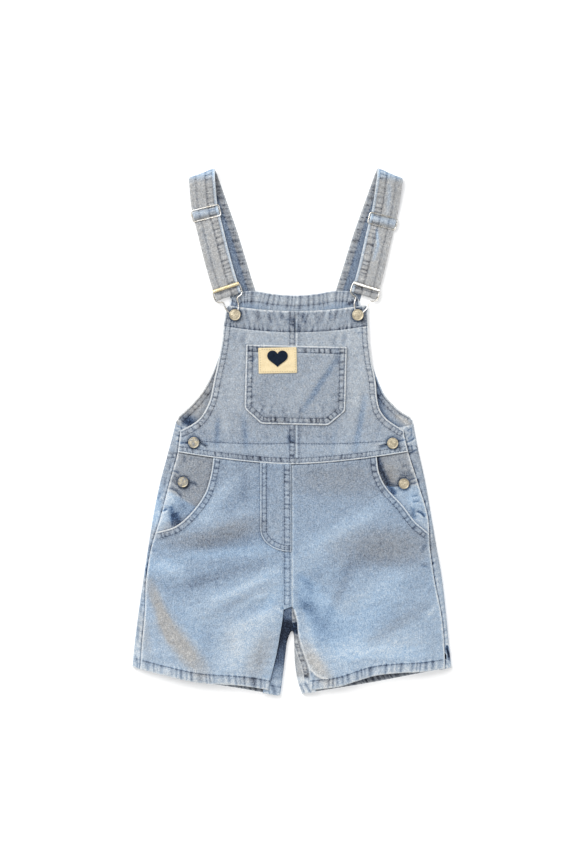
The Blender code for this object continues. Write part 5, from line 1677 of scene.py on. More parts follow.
def bib_seams(side):
    out = OUTWARD[side]
    middle = BIB_CENTRE_X + out * SEAM_GAP / 2
    corner = FRONT_BIB[side](148.5)
    low_y = meet(SEAM[side], waist, BACK_WAIST_Y)
    low_x = SEAM[side](low_y)
    seed = 1.0 if side == "left" else 4.0
    top = level_line(front_bib_top, middle, corner)
    armhole = side_line(FRONT_BIB[side], 150.0, 1.2)
    hem = level_line(waist, low_x, middle)
    above_hem = level_line(
        lambda x: waist(x) + 24.6 - 0.07 * np.abs(x), low_x - out * 24.0, middle
    )
    found = [
        Seam(top, -out, stitches=(BIB_BAND,), band=BIB_BAND, lift=0.5, edge=0.38),
        Seam(top, -out, band=7.0, pucker=0.3, contrast=0.2, decay=6.0, slant=0.35,
             period=8.2, seed=seed),
        Seam(offset_line(top, out * -BIB_BAND), out, band=1.0, pucker=0.28, contrast=0.26,
             decay=4.5, period=6.2, slant=-0.2, seed=seed + 1.7, marks=((-1.4, 0.8, 0.16),)),
        Seam(armhole, -out, seed=seed + 0.6, **double()),
        Seam(hem, -out, stitches=(1.7, 6.5), band=7.4, lift=0.5, pucker=0.24, contrast=0.28,
             crease=0.42, period=5.2, decay=3.0, edge=0.38, tint=0.05, seed=seed + 2.0),
        Seam(above_hem, 1.0, stitches=(0.0,), dark=0.2),
        Seam(side_line(SEAM[side], -2.0, low_y), -out, edge=0.42),
    ]
    pocket_top, pocket_low = above_pocket(middle), BIB_POCKET_CENTRE[1] - BIB_POCKET_SIZE[1] / 2
    for y0, y1 in ((front_bib_top(middle), pocket_top + 1.0), (pocket_low - 1.5, waist(middle))):
        line = resampled([(middle, y0), (middle, y1)])
        if side == "left":
            look = double(stitches=(1.6, 6.8), band=7.6, edge=0.0, seed=seed + y0 / 50)
            found.append(Seam(line, -1.0, **look))
        else:
            found.append(Seam(line, 1.0, band=2.6, lift=0.35, edge=0.26))
            found.append(Seam(line + (3.4, 0.0), 1.0, shade=0.22))
    found.append(Seam(POCKET_PATH, -1.0, shade=0.24))
    for place in (SIDE_BUTTONS["waist_button_" + side], STRAPS[side]["button"]):
        found.append(shade_ring_round(place))
    return found + creases_of("bib_" + side)


def pocket_seams():
    mouth, bottom = resampled(POCKET_MOUTH), POCKET_PATH[POCKET_BOTTOM]
    return [
        Seam(POCKET_PATH, 1.0, seed=2.4, **double(contrast=0.3)),
        Seam(mouth, 1.0, seed=5.0, marks=((9.4, 0.8, 0.18),), **double(contrast=0.32)),
        Seam(bottom, 1.0, band=9.0, pucker=0.2, contrast=0.08, decay=7.0, seed=3.1),
        *creases_of("pocket"),
    ]


def leg_seams(side):
    out = OUTWARD[side]
    middle = out * SEAM_GAP / 2
    seed = 2.0 if side == "left" else 6.0
    hem_y = meet(SEAM[side], FRONT_HEM[side], HEM_Y)
    inner_y = meet(INSEAM[side], FRONT_HEM[side], INSEAM_END_Y)
    hem = level_line(FRONT_HEM[side], SEAM[side](hem_y), INSEAM[side](inner_y))
    centre = resampled([(middle, waist(middle)), (middle, CROTCH_Y)])
    inseam = side_line(INSEAM[side], INSEAM_TOP_Y, inner_y)
    found = [
        Seam(POCKET[side], -out, seed=seed, **double()),
        Seam(hem, -out, stitches=(10.4,), band=10.8, lift=0.6, pucker=0.36, contrast=0.27,
             crease=0.8, period=7.2, edge=0.42, decay=1.5, slant=0.2, tint=0.2,
             marks=((12.0, 0.8, 0.1), (5.0, 3.4, 0.1)), seed=seed + 1.0),
        Seam(side_line(SEAM[side], -118.0, hem_y), -out, edge=0.34, pucker=0.12, period=13.0),
        # only the right leg's inner edge gets the painted highlight
        Seam(inseam, out, edge=0.0 if side == "left" else 0.34, pucker=0.15, contrast=0.06,
             period=12.0, decay=5.0),
        Seam(WAIST_LINE, -1.0, band=1.0, pucker=0.16, contrast=0.08, shade=0.3, decay=5.0,
             period=6.0, seed=seed, marks=((2.6, 0.9, 0.14),)),
    ]
    if side == "left":
        look = double(stitches=(2.2, 8.6), band=9.6, edge=0.2, contrast=0.2, period=6.2)
        found.append(Seam(centre[centre[:, 1] < FLY_END_Y + 2.0], -1.0, seed=3.3, **look))
        found.append(Seam(fly_side(), -1.0, shade=0.18))
    else:
        found.append(Seam(centre, 1.0, edge=0.26, band=1.5, lift=0.2))
    return found + creases_of("leg_" + side)


def fly_seams():
    """The curved double row, and the ladder of puckers down the centre seam."""
    inner = FLY_SIDES[0]
    centre = resampled([(inner, waist(inner)), (inner, FLY_END_Y)])
    outer = double(stitches=(1.8, 6.9), band=7.6, edge=0.22, period=6.2, contrast=0.2)
    ladder = double(stitches=(1.4, 7.8), band=8.8, edge=0.2, contrast=0.26, period=6.2)
    return [Seam(fly_side(), 1.0, seed=1.9, **outer), Seam(centre, -1.0, seed=3.3, **ladder)]


def hip_seams(side):
    out = OUTWARD[side]
    return [
        Seam(POCKET[side], out, shade=0.26),
        Seam(side_line(SEAM[side], -20.0, -120.0), -out, edge=0.44, pucker=0.15, period=11.0),
        Seam(WAIST_LINE, -1.0, shade=0.3, marks=((2.6, 0.9, 0.16),)),
        shade_ring_round(HIP_BUTTON[side]),
        *creases_of("hip_" + side),
    ]


RETURN_TOP = {
    # the top edges of the rolled edges, from the outside in
    "left": ((-138.5, 13.5), (-133.0, 10.0), (-127.5, 7.0)),
    "right": ((146.0, 12.0), (139.0, 8.0), (132.5, 3.5)),
}


def return_seams(side):
    """What lies on the rolled edges beside the front."""
    out = OUTWARD[side]
    edge = side_line(SEAM[side], 0.0, -290.0)
    back_waist = resampled([(out * 120.0, BACK_WAIST_Y), (out * 160.0, BACK_WAIST_Y)])
    found = [
        Seam(edge, out, shade=0.5, band=0.5, pucker=0.3, contrast=0.16, decay=5.0, period=9.0,
             marks=((3.0, 1.1, 0.16),)),
        Seam(back_waist, -1.0, shade=0.3),
        Seam(back_waist, 1.0, stitches=(2.0, 6.6), sewn=(), band=7.0, lift=0.15, pucker=0.2,
             contrast=0.22, crease=0.4, edge=0.2),
        Seam(resampled(RETURN_TOP[side]), -out, edge=0.34, marks=((3.4, 0.8, -0.2),)),
        *creases_of("return_" + side),
    ]
    inseam = side_line(INSEAM[side], -208.0, -300.0)
    if side == "left":
        found.append(Seam(inseam, -out, shade=0.2, pucker=0.15, contrast=0.1, period=8.0))
    else:
        found.append(
            Seam(inseam, -out, shade=0.2, stitches=(2.0, 6.4), sewn=(), band=6.8, lift=0.1,
                 pucker=0.15, contrast=0.34, crease=0.6, period=5.6, edge=0.3,
                 marks=((7.6, 0.7, 0.16), (-1.4, 0.7, -0.2)))
        )
    return found


def back_hem_seams(side):
    line = level_line(BACK_HEM[side], *((-190.0, -12.0) if side == "left" else (10.0, 190.0)))
    look = {"lift": 0.3, "pucker": 0.3, "contrast": 0.27, "period": 6.0, "edge": 0.3}
    return [Seam(line, 1.0, stitches=(10.2,), sewn=(), band=10.6, slant=0.4, seed=7.7, **look)]


def back_bib_seams():
    top = curve_through(BACK_BIB_TOP)
    found = [
        Seam(top, -1.0, stitches=(12.0,), band=12.4, lift=0.25, pucker=0.22, contrast=0.22,
             edge=0.2, period=6.4, decay=5.0, tint=0.05, slant=0.1, seed=2.2,
             marks=((1.5, 0.7, -0.2),))
    ]
    for side, out in OUTWARD.items():
        line = side_line(BACK_BIB[side], 159.0, 17.8)
        look = double(lift=0.25, pucker=0.2, contrast=0.16, edge=0.42, dark=0.34, sewn=(7.4,))
        found.append(Seam(line, -out, seed=4.4, **look))
    return found


# ------------------------------------------------------------ paint
def paint(points, seams, wash, grey, creased=True):
    """(height, wash, grey) on a face seen from the front."""
    plan = points[:, :2]
    x, y = plan[:, 0], plan[:, 1]
    height, change, tint = seams_at(seams, plan)
    if not creased:
        return height, wash + change, grey + tint
    # painted light and shade: lighter crease ridges, darker troughs, and the zones' light, shade
    # and fades
    folds = CREASE_SHADE_AND_WEAR * strokes(CREASES, x, y) + ZONE_WASH * strokes(ZONES, x, y, 5, 3)
    zone_shade_and_fade = strokes(ZONES, x, y, 6, 3)
    return height, wash + change + folds, grey + tint + zone_shade_and_fade


def rows_of(seams):
    """Points for the mesh along some seams' furrows."""
    return [row for seam in seams for row in seam.rows()]


def plain(points, wash, grey):
    """(height, wash, grey) on a face that has no relief."""
    size = len(points)
    return np.zeros(size), np.full(size, wash), np.full(size, grey)


def bib_wash(points):
    """Darker in the top band and below the pocket, and a little paler to the right."""
    x, y = points[:, 0], points[:, 1]
    wash = 0.65 + 0.04 * smoothstep((x - 20.0) / 60.0) - 0.08 * smoothstep((40.0 - y) / 30.0)
    wash = wash + 0.05 * smoothstep((-8.0 - y) / 12.0)
    wash = wash - 0.08 * smoothstep((y - front_bib_top(x) + BIB_BAND + 1.2) / 2.0)
    return wash, 0.66 - 0.14 * smoothstep((20.0 - y) / 40.0)


def declare(made, node):
    """Hangs a piece under the root, and hides the imported part that it stands for."""
    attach(made, ROOT)
    if node:
        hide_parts(node)


def inner_rim(middle):
    """Less of a rim where two halves meet at a seam."""
    return lambda p: np.where(np.abs(p[:, 0] - middle) < 0.4, 0.1, RIM)


STITCHED = {"bib": [], "legs": [], "straps": []}


def collect(group, seams, level, keep=None):
    """The stitch lines of some seams, laid on the relief of their piece."""
    for seam in seams:
        for line in seam.stitch_lines():
            line = resampled(line, 0.6)
            if keep is not None:
                line = line[keep(line)]
            if len(line) < 8:
                continue
            cuts = np.flatnonzero(np.linalg.norm(np.diff(line, axis=0), axis=1) > 2.5) + 1
            for run in np.split(line, cuts):
                if len(run) < 8:
                    continue
                z = level(run[:, 0], run[:, 1]) + WALL / 2 + seams_at(seams, run)[0]
                STITCHED[group].append(np.column_stack([run, z]))


def lay(name, node, outline, level, seams, wash, group, middle=None, look=None,
        creased=True, thickness=WALL):
    """A flat-cut piece of the front. middle is the x where it meets its other half, and
    group the mesh that its stitches go into."""
    surface = Surface()
    surface.chart(outline, level, GRID, rows_of(seams))

    def outer(points, tags):
        return paint(points, seams, *wash(points), creased=creased)

    def inner(points, tags):
        return plain(points, 0.55, 0.5)

    rim = RIM if middle is None else inner_rim(middle)
    made = wall(name, surface, look or DENIM, outer, inner, thickness, rim)
    if group:
        collect(group, seams, level, lambda p: inside(p, outline))
    declare(made, node)


def hip_wash(side):
    """Greyish denim under the pocket's edge, turning light blue below a crease."""

    def left(points):
        x, y = points[:, 0], points[:, 1]
        low = smoothstep((-65.0 - 0.6 * (x + 151.0) - y) / 6.0)
        return 0.52 + low * (0.15 - 0.13 * smoothstep((x + 146.0) / 14.0)), 0.76 - 0.54 * low

    def right(points):
        low = smoothstep((-61.5 - points[:, 1]) / 5.0)
        return 0.57 + 0.1 * low, 0.76 - 0.46 * low

    return left if side == "left" else right


def leg_paint(points):
    return leg_wash(points[:, 1]), leg_grey(points[:, 1])


def even(wash, grey):
    """The same wash and greyness everywhere."""
    return lambda p: (np.full(len(p), wash), np.full(len(p), grey))


for side in SIDES:
    lay("bib_" + side, "front_bib_" + side, front_bib(side), front_bib_level, bib_seams(side),
        bib_wash, "bib",
        middle=BIB_CENTRE_X + OUTWARD[side] * SEAM_GAP / 2)
    lay("leg_" + side, "front_leg_" + side, front_leg(side), front_leg_level, leg_seams(side),
        leg_paint, "legs",
        middle=OUTWARD[side] * SEAM_GAP / 2)
    lay("hip_" + side, "hip_panel_" + side, hip_panel(side), hip_level, hip_seams(side),
        hip_wash(side), None)

lay("fly", "fly_facing", fly(), fly_level, fly_seams(),
    lambda p: (leg_wash(p[:, 1]), np.full(len(p), 0.4)), "legs")
lay("pocket", "bib_pocket", bib_pocket(), bib_pocket_level, pocket_seams(),
    even(0.58, 0.64), "bib")
lay("patch", "bib_patch", PATCH_OUTLINE, patch_level, [], even(0.5, 0.5), None,
    look=CREAM, creased=False, thickness=0.9)


def heart_relief(points):
    """The heart's fill is a little domed."""
    plan = points[:, :2] - HEART_CENTRE
    return 0.25 * bell(np.hypot(plan[:, 0], plan[:, 1] - 1.0) / 8.0)


heart_surface = Surface()
heart_surface.chart(heart(), heart_level, 1.1)
heart_piece = wall(
    "heart",
    heart_surface,
    NAVY,
    lambda points, tags: (heart_relief(points), *even(0.5, 0.5)(points)),
    lambda points, tags: plain(points, 0.5, 0.5),
    thickness=0.8,
    rim=0.3,
)
declare(heart_piece, "patch_heart")


# ------------------------------------------------------------ the back
def back_inside(points, seams, wash, grey):
    """(height, wash, grey) on the inside of the back, where it shows."""
    height, change, tint = seams_at(seams, points[:, :2])
    return height, wash + change, grey + tint


BACK_SEAMS = back_bib_seams()
RETURNS = {side: return_seams(side) for side in SIDES}


def back_bib_outer(points, tags):
    height, wash, grey = np.zeros(len(points)), np.full(len(points), 0.6), np.full(len(points), 0.3)
    for side, out in OUTWARD.items():
        part = (tags != ON_FLOOR) & (points[:, 0] * out > 0)
        h, w, g = paint(points[part], RETURNS[side], 0.7, 0.56)
        height[part], wash[part], grey[part] = h, w, g
    height[tags == IN_ROLL] *= 0.5
    return height, wash, grey


def shadow_wash(x, y):
    """How much darker the inside is close to the front bib's edges and in its corner."""
    near = np.minimum(FRONT_BIB["right"](y) - x, x - FRONT_BIB["left"](y))
    low = smoothstep((130.0 - y) / 10.0)
    right = np.where(x > 0, 0.3, 0.1) * bell(np.minimum(near + 1.0, 0) / 6.5)
    corner = 0.58 * bell((x + 124.5) / 8.5, (y - 12.5) / 7.0)
    pale = 0.12 * bell((x - 7.0) / 7.0, (y - 157.0) / 5.0)
    over = bell((y - front_bib_top(np.clip(x, -74.0, 74.0)) - 2.0) / 5.0)
    over = over * (0.05 + 0.1 * smoothstep((np.abs(x) - 18.0) / 34.0))
    return pale - low * right - corner - over


ARMHOLE_HIGHLIGHTS = (
    # painted highlights in the armholes: from, to, half width, wash, greyness
    (125.4, 19.8, 141.6, 8.4, 1.5, 0.36, 0.6),
    (-140.0, 15.6, -125.0, 7.0, 0.9, 0.55, 0.3),
    (-140.0, 11.0, -129.0, 5.5, 2.4, 0.22, -0.1),
)


def back_bib_inner(points, tags):
    x, y = points[:, 0], points[:, 1]
    shadow = shadow_wash(x, y)
    wash = 0.64 + 0.03 * smoothstep((y - 100.0) / 50.0) + shadow + strokes(ARMHOLE_HIGHLIGHTS, x, y)
    grey = np.where(x < 0, 0.3, 0.1) * smoothstep((100.0 - y) / 30.0) + 0.62
    grey = grey + 1.5 * np.minimum(shadow, 0)
    height, w, g = back_inside(points, BACK_SEAMS, wash, grey)
    height[tags != ON_FLOOR] = 0.0
    return height, w, g + strokes(ARMHOLE_HIGHLIGHTS, x, y, 6)


rows = {"return_" + side: rows_of(RETURNS[side]) for side in SIDES}
rows["floor"] = rows_of(BACK_SEAMS)
made = wall("back_bib_cloth", back_bib(rows), DENIM, back_bib_outer, back_bib_inner)
declare(made, "back_bib")

for side in SIDES:
    hem_seams = back_hem_seams(side)

    def back_leg_outer(points, tags, side=side):
        x, y = points[:, 0], points[:, 1]
        beside = 0.05 + 0.04 * smoothstep((-90.0 - y) / 30.0)
        height, wash, grey = paint(
            points, RETURNS[side] + hem_seams, leg_wash(y) + beside, leg_grey(y) + 0.15
        )
        crotch = smoothstep((60.0 - np.abs(x)) / 10.0)
        # painted shade of the crotch: down the left leg by a table, and in a dark band on the right
        if side == "left":
            wash = wash + (crotch_shade(y) - 0.7) * crotch
            grey = grey + (0.34 - grey) * crotch
        else:
            deep = smoothstep((y + 243.0) / 3.0) * smoothstep((-226.0 - y) / 3.0)
            corner = smoothstep((-291.0 - y) / 5.0)
            wash = wash - (0.13 + 0.6 * deep - 0.24 * corner) * crotch
            grey = grey + (0.85 - 0.7 * deep - 0.35 * corner - grey) * crotch
        height[tags == IN_ROLL] *= 0.5
        height[tags == ON_FLOOR] = 0.0
        return height, wash, grey

    def back_leg_inner(points, tags):
        # the inside shows below the front's hem, darkened by painted shade under that hem
        height, wash, grey = back_inside(points, hem_seams, 0.44, 0.8)
        height[tags != ON_FLOOR] = 0.0
        x, y = points[:, 0], points[:, 1]
        # painted shade in the vent's gap
        vent = bell((x - 184.0) / 4.0, (y + 263.0) / 8.0)
        return height, wash - 0.5 * vent, grey - 0.6 * vent

    rows = {"floor": rows_of(hem_seams), "return": rows_of(RETURNS[side] + hem_seams)}
    surface = back_leg(side, rows)
    made = wall("back_leg_%s_cloth" % side, surface, DENIM, back_leg_outer, back_leg_inner)
    declare(made, "back_leg_" + side)


# ------------------------------------------------------------ the straps' cloth
def strap_places(strap, points):
    """(distance down the strap, distance across it) of the points of its grid."""
    rows, columns = strap.grid.shape[:2]
    key = merge_key(strap.grid.astype(np.float32).astype(float))
    found = {tuple(k): i for i, k in enumerate(key.reshape(-1, 3).tolist())}
    index = np.array([found[tuple(k)] for k in merge_key(points).tolist()])
    widths = np.linspace(-0.5, 0.5, columns) * STRAP_WIDTH
    return strap.down[index // columns], widths[index % columns]


STRAP_SEAMS = (
    # share of the width from the outer edge, looks on the side towards the inner edge
    (0.0, {"edge": 0.12, "stitches": (7.8,), "band": 8.0, "lift": 0.25, "pucker": 0.12,
           "contrast": 0.06, "period": 8.0, "decay": 1.5, "seed": 1.1}),
    (0.62, {"stitches": (0.0,), "band": 0.8, "lift": 0.1}),
    (0.66, {"marks": ((0.0, 0.8, -0.14), (7.2, 0.7, -0.16)), "band": 6.8, "lift": 0.2,
            "pucker": 0.26, "contrast": 0.3, "crease": 0.42, "period": 5.4, "slant": 0.1,
            "seed": 2.7, "decay": 0.4}),
)
STRAP_INSIDE = (
    (0.72, {"band": 7.6, "lift": 0.3, "pucker": 0.26, "contrast": 0.22, "crease": 0.44,
            "period": 6.0, "slant": 0.3, "seed": 0.7, "decay": 0.5, "shade": 0.08}),
)


STRAP_STITCHES = (7.8, 19.4, 28.6)  # rows, from the outer edge
FIRST_STITCHED_ROW = BACK_ROWS + 14
# how much longer than its plan the front's cloth is, from the bend to each
EXTRA_TO_SLIDER = 10.0
EXTRA_TO_BAR = 18.4
STRAP_FOLDS = {
    # along from the slider, across from the outer edge, half width, wash, greyness
    "left": ((22.0, 8.0, 70.0, 6.0, 3.0, 0.0, -0.1),),
    "right": (
        (14.0, 20.0, 34.0, 14.0, 1.7, 0.1, -0.8),
        (32.0, 14.0, 52.0, 15.5, 2.2, 0.04, -0.5),
        (-46.0, 15.0, -12.0, 12.0, 2.8, 0.03, -0.4),
        (18.0, 23.5, 40.0, 19.0, 1.1, -0.08, -0.2),
    ),
}


def from_outer_of(strap, across):
    """The distance from a strap's outer edge."""
    return across * strap.inner + STRAP_WIDTH / 2


def strap_relief(strap, down, across, seams):
    """(height, wash) of the seams along a strap."""
    height, wash = np.zeros(len(down)), np.zeros(len(down))
    from_outer = from_outer_of(strap, across)
    for share, looks in seams:
        seam = Seam(np.array([(0.0, 0.0), (2000.0, 0.0)]), **looks)
        h, w, _ = seam.profile(from_outer - share * STRAP_WIDTH, down)
        height, wash = height + h, wash + w
    return height, wash + 0.26 * bell((STRAP_WIDTH - from_outer) / 1.8)


def strap_path(strap, from_outer):
    """A row of stitches down the front of a strap, to where it folds round the buckle."""
    column = (from_outer - STRAP_WIDTH / 2) * strap.inner + STRAP_WIDTH / 2
    column = column / STRAP_WIDTH * STRAP_COLUMNS
    low = int(column)
    share = column - low
    line = strap.grid[:, low] * (1 - share) + strap.grid[:, low + 1] * share
    run, across = np.gradient(line, axis=0), strap.grid[:, -1] - strap.grid[:, 0]
    square = np.cross(run, across)
    square /= np.linalg.norm(square, axis=1)[:, None]
    end = int(np.searchsorted(strap.down, strap.front_at + strap.bar_at + 5.0))
    return (line - square * (WALL / 2 - 0.05))[FIRST_STITCHED_ROW:end]


for side in SIDES:
    strap = STRAP[side]

    def strap_outer(points, tags, strap=strap, folds=STRAP_FOLDS[side]):
        down, across = strap_places(strap, points)
        height, change = strap_relief(strap, down, across, STRAP_SEAMS)
        past_bend = down - strap.bend_at
        past_slider = past_bend - strap.slider_at - EXTRA_TO_SLIDER
        past_bar = past_bend - strap.bar_at - EXTRA_TO_BAR
        # painted highlight on the top of the bend and on the cloth bulging over the slider
        painted_highlight = smoothstep(1 - np.abs(past_bend) / 14.0)
        painted_highlight = painted_highlight + 0.5 * bell(past_slider / 5.5)
        from_outer = from_outer_of(strap, across)
        inner = smoothstep((from_outer - 27.5) / 1.5)
        fold = [strokes(folds, past_slider, from_outer, i) for i in (5, 6)]
        # painted shadow of the buckle's bar
        bar_shadow = bell(past_bar / 1.1)
        wash = 0.67 + 0.08 * painted_highlight + change + fold[0] - 0.34 * bar_shadow
        return height + 3.0 * fold[0], wash, 0.97 - painted_highlight - 0.5 * inner + fold[1]

    def strap_inner(points, tags, strap=strap):
        down, across = strap_places(strap, points)
        height, change = strap_relief(strap, down, across, STRAP_INSIDE)
        from_outer = from_outer_of(strap, across)
        banded = smoothstep((from_outer - 22.0) / 1.5)
        # the inside is painted darker than the outside, for the shade it lies in
        wash = (0.37 if strap.inner > 0 else 0.41) + 0.11 * banded + change
        return height * 0.8, wash, 0.42 + 0.42 * banded

    made = wall(
        "strap_%s_cloth" % side, strap.surface(), STRAP_DENIM, strap_outer, strap_inner, rim=0.15
    )
    for from_outer in STRAP_STITCHES:
        STITCHED["straps"].append(strap_path(strap, from_outer))
    declare(made, "strap_" + side)


# ------------------------------------------------------------ threads
STITCH_LENGTH = 2.3
STITCH_PITCH = 3.1
STITCH_RADIUS = 0.34
STITCH_SIDES = 6
STITCH_SHAPE = (
    # share of the length, share of the radius, rise above the cloth
    (0.0, 0.0, -0.3), (0.16, 0.85, 0.02), (0.5, 1.0, 0.12), (0.84, 0.85, 0.02),
    (1.0, 0.0, -0.3),
)


def stitches_on(paths, pitch=STITCH_PITCH, length=STITCH_LENGTH):
    """The two ends of every stitch along some paths."""
    starts, ends = [], []
    for path in paths:
        total = lengths(path)[-1]
        at = np.arange(0.4, total - length, pitch)
        if len(at):
            starts.append(at_lengths(path, at))
            ends.append(at_lengths(path, at + length))
    return np.vstack(starts), np.vstack(ends)


def threads(name, starts, ends, look, radius=STITCH_RADIUS):
    """Small rounded stitches from their starts to their ends, as one mesh."""
    run = ends - starts
    size = np.linalg.norm(run, axis=1)[:, None]
    run = run / size
    up = np.array([0.0, 0.0, 1.0]) - run * run[:, 2:]
    up /= np.linalg.norm(up, axis=1)[:, None]
    sideways = np.cross(run, up)
    rings = []
    for share, wide, rise in STITCH_SHAPE:
        middle = starts + run * size * share + up * rise
        turns = [0.0] if wide == 0 else np.arange(STITCH_SIDES) * 2 * math.pi / STITCH_SIDES
        for a in turns:
            rings.append(middle + (up * math.cos(a) + sideways * math.sin(a)) * radius * wide)
    points = np.stack(rings, 1)
    faces, n = [], STITCH_SIDES
    for i in range(n):
        j = (i + 1) % n  # the next point round each ring
        faces.append((0, 1 + j, 1 + i))
        for k in (0, 1):
            a, b = 1 + k * n, 1 + (k + 1) * n
            faces += [(a + i, a + j, b + j), (a + i, b + j, b + i)]
        faces.append((1 + 2 * n + i, 1 + 2 * n + j, 1 + 3 * n))
    per = points.shape[1]
    offsets = np.arange(len(starts))[:, None, None] * per
    all_faces = (np.array(faces)[None] + offsets).reshape(-1, 3)
    return mesh_object(name, points.reshape(-1, 3), all_faces, look)


def patch_paths():
    """The stitches just inside the patch's edges."""
    w, h = PATCH_SIZE[0] / 2 - 1.6, PATCH_SIZE[1] / 2 - 1.6
    plan = turned([(-w, h), (-w, -h), (w, -h), (w, h), (-w, h)], PATCH_CENTRE, PATCH_TURN)
    plan = resampled(plan, 0.6)
    return [np.column_stack([plan, patch_level(plan[:, 0], plan[:, 1]) + 0.45])]


BUTTONHOLES = (
    # the level that each is sewn on, and the slit's two ends
    (front_bib_level, (-101.4, -17.4), (-110.0, -12.4)),
    (front_bib_level, (103.2, -17.8), (113.0, -14.6)),
    (hip_level, (-113.4, -63.6), (-122.4, -60.2)),
    (hip_level, (117.0, -63.0), (126.4, -64.0)),
)


def buttonhole_stitches():
    """Close stitches square to a slit, along both of its sides."""
    starts, ends = [], []
    for level, first, last in BUTTONHOLES:
        line = resampled([first, last], 0.62)
        for by in (-1.0, 1.0):
            for found, away in ((starts, 0.35), (ends, 1.9)):
                plan = offset_line(line, by * away)
                z = level(plan[:, 0], plan[:, 1]) + WALL / 2 + 0.05
                found.append(np.column_stack([plan, z]))
    return np.vstack(starts), np.vstack(ends)


made = threads("stitches_patch", *stitches_on(patch_paths(), 2.9, 1.6), CREAM_THREAD, 0.3)
declare(made, None)
made = threads("stitches_buttonholes", *buttonhole_stitches(), HOLE_THREAD, 0.3)
declare(made, None)
for group, paths in STITCHED.items():
    if paths:
        declare(threads("stitches_" + group, *stitches_on(paths), THREAD), None)


# ------------------------------------------------------------ metal
def tube(points, radius, closed, sides=14, flatten=1.0):
    """A round wire along points, as arrays of points and faces."""
    points = np.asarray(points, float)
    if closed:
        run = np.roll(points, -1, axis=0) - np.roll(points, 1, axis=0)
    else:
        run = np.gradient(points, axis=0)
    run /= np.linalg.norm(run, axis=1)[:, None]
    up = np.array([0.0, 0.0, 1.0]) - run * run[:, 2:]
    up /= np.linalg.norm(up, axis=1)[:, None]
    sideways = np.cross(run, up)
    a = np.arange(sides) * 2 * math.pi / sides
    ring = (
        up[:, None] * np.cos(a)[None, :, None] * flatten
        + sideways[:, None] * np.sin(a)[None, :, None]
    )
    made = (points[:, None] + ring * radius).reshape(-1, 3)
    faces = []
    count = len(points)
    for i in range(count if closed else count - 1):
        for j in range(sides):
            k = (j + 1) % sides
            p, q = i * sides, ((i + 1) % count) * sides
            faces += [(p + j, q + j, q + k), (p + j, q + k, p + k)]
    if not closed:
        made = np.vstack([made, points[:1], points[-1:]])
        for j in range(sides):
            k = (j + 1) % sides
            last = (count - 1) * sides
            faces += [(count * sides, j, k), (count * sides + 1, last + k, last + j)]
    return made, np.array(faces)[:, ::-1]


def joined(parts):
    """Several meshes as one."""
    points, faces, count = [], [], 0
    for p, f in parts:
        points.append(p)
        faces.append(f + count)
        count += len(p)
    return np.vstack(points), np.vstack(faces)


def closed_curve(points):
    """A closed polyline with its corners cut round."""
    p = np.asarray(points, float)
    for _ in range(2):
        p = quarters(p, np.roll(p, -1, axis=0))
    return p


def slider_parts(strap):
    """The slider's rounded frame of wire, and its thinner middle bar."""
    w, h = SLIDER_SIZE[0] / 2, SLIDER_SIZE[1] / 2
    loop = []
    for cx, cy, turn in ((w, h, 0), (-w, h, 90), (-w, -h, 180), (w, -h, 270)):
        for a in np.radians(np.linspace(turn, turn + 90, 7)):
            x = cx - math.copysign(SLIDER_CORNER, cx) + SLIDER_CORNER * math.cos(a)
            y = cy - math.copysign(SLIDER_CORNER, cy) + SLIDER_CORNER * math.sin(a)
            loop.append((x, y, 0.0))
    bar = [(-w, 0.0, 0.0), (0.0, 0.0, 0.0), (w, 0.0, 0.0)]
    at = strap.slider_at
    return [
        tube(placed_on_strap(strap, at, loop, SLIDER_LEVEL), WIRE_RADIUS, True),
        tube(placed_on_strap(strap, at, bar, SLIDER_LEVEL), SLIDER_BAR_RADIUS, False),
    ]


def buckle_parts(strap):
    """The keyhole of wire, and the bar that the strap is folded round."""
    half = [(u, v, 0.0) for u, v in BUCKLE_HALF]
    loop = half[:-1] + [(-u, v, z) for u, v, z in reversed(half[1:])]
    slope = (BUCKLE_NECK_LEVEL - BUCKLE_LEVEL) / BUCKLE_HALF[-1][1]
    loop = closed_curve([(u, v, slope * v) for u, v, _ in loop])
    w = max(u for u, _ in BUCKLE_HALF)
    bar = [(u, CROSSBAR_AT, slope * CROSSBAR_AT) for u in (-w, 0.0, w)]
    at = strap.bar_at
    return [
        tube(placed_on_strap(strap, at, loop, BUCKLE_LEVEL), WIRE_RADIUS, True),
        tube(placed_on_strap(strap, at, bar, BUCKLE_LEVEL), CROSSBAR_RADIUS, False),
    ]


BAR_REACH = 16.4
BAR_SIZE = (2.1, 1.05)  # half width and half height of the buckle's flat top bar
BAR_SIDES = 20


def bar_parts(strap):
    """The flat bar on top of a buckle's wire, with slanting ridges."""
    u = np.linspace(-BAR_REACH, BAR_REACH, 120)
    middle = placed_on_strap(strap, strap.bar_at, [(v, 0.0, 0.9) for v in u], BUCKLE_LEVEL)
    points, faces = tube(middle, BAR_SIZE[0], False, BAR_SIDES, BAR_SIZE[1] / BAR_SIZE[0])
    across = np.repeat(u, BAR_SIDES)
    turn = np.tile(np.arange(BAR_SIDES) * 2 * math.pi / BAR_SIDES, len(u))
    ridge = 0.16 * np.sin(across * 3.6 + 2.6 * np.sin(turn)) * np.maximum(np.cos(turn), 0)
    points[: len(across), 2] += ridge
    return points, faces


BUTTON_PROFILE = (
    # radius, height above the foot
    (0.0, 2.3), (1.2, 2.3), (2.4, 2.3), (3.6, 2.29), (4.9, 2.25), (5.3, 2.12), (5.6, 2.2),
    (5.95, 2.42), (6.3, 2.46), (6.65, 2.25), (6.88, 1.8), (6.95, 1.2), (6.8, 0.6),
    (6.2, 0.25), (2.4, 0.2),
)
BUTTON_POST = 2.4
BUTTON_FACE = 5.0  # radius of the hammered part
BUTTON_SIDES = 48


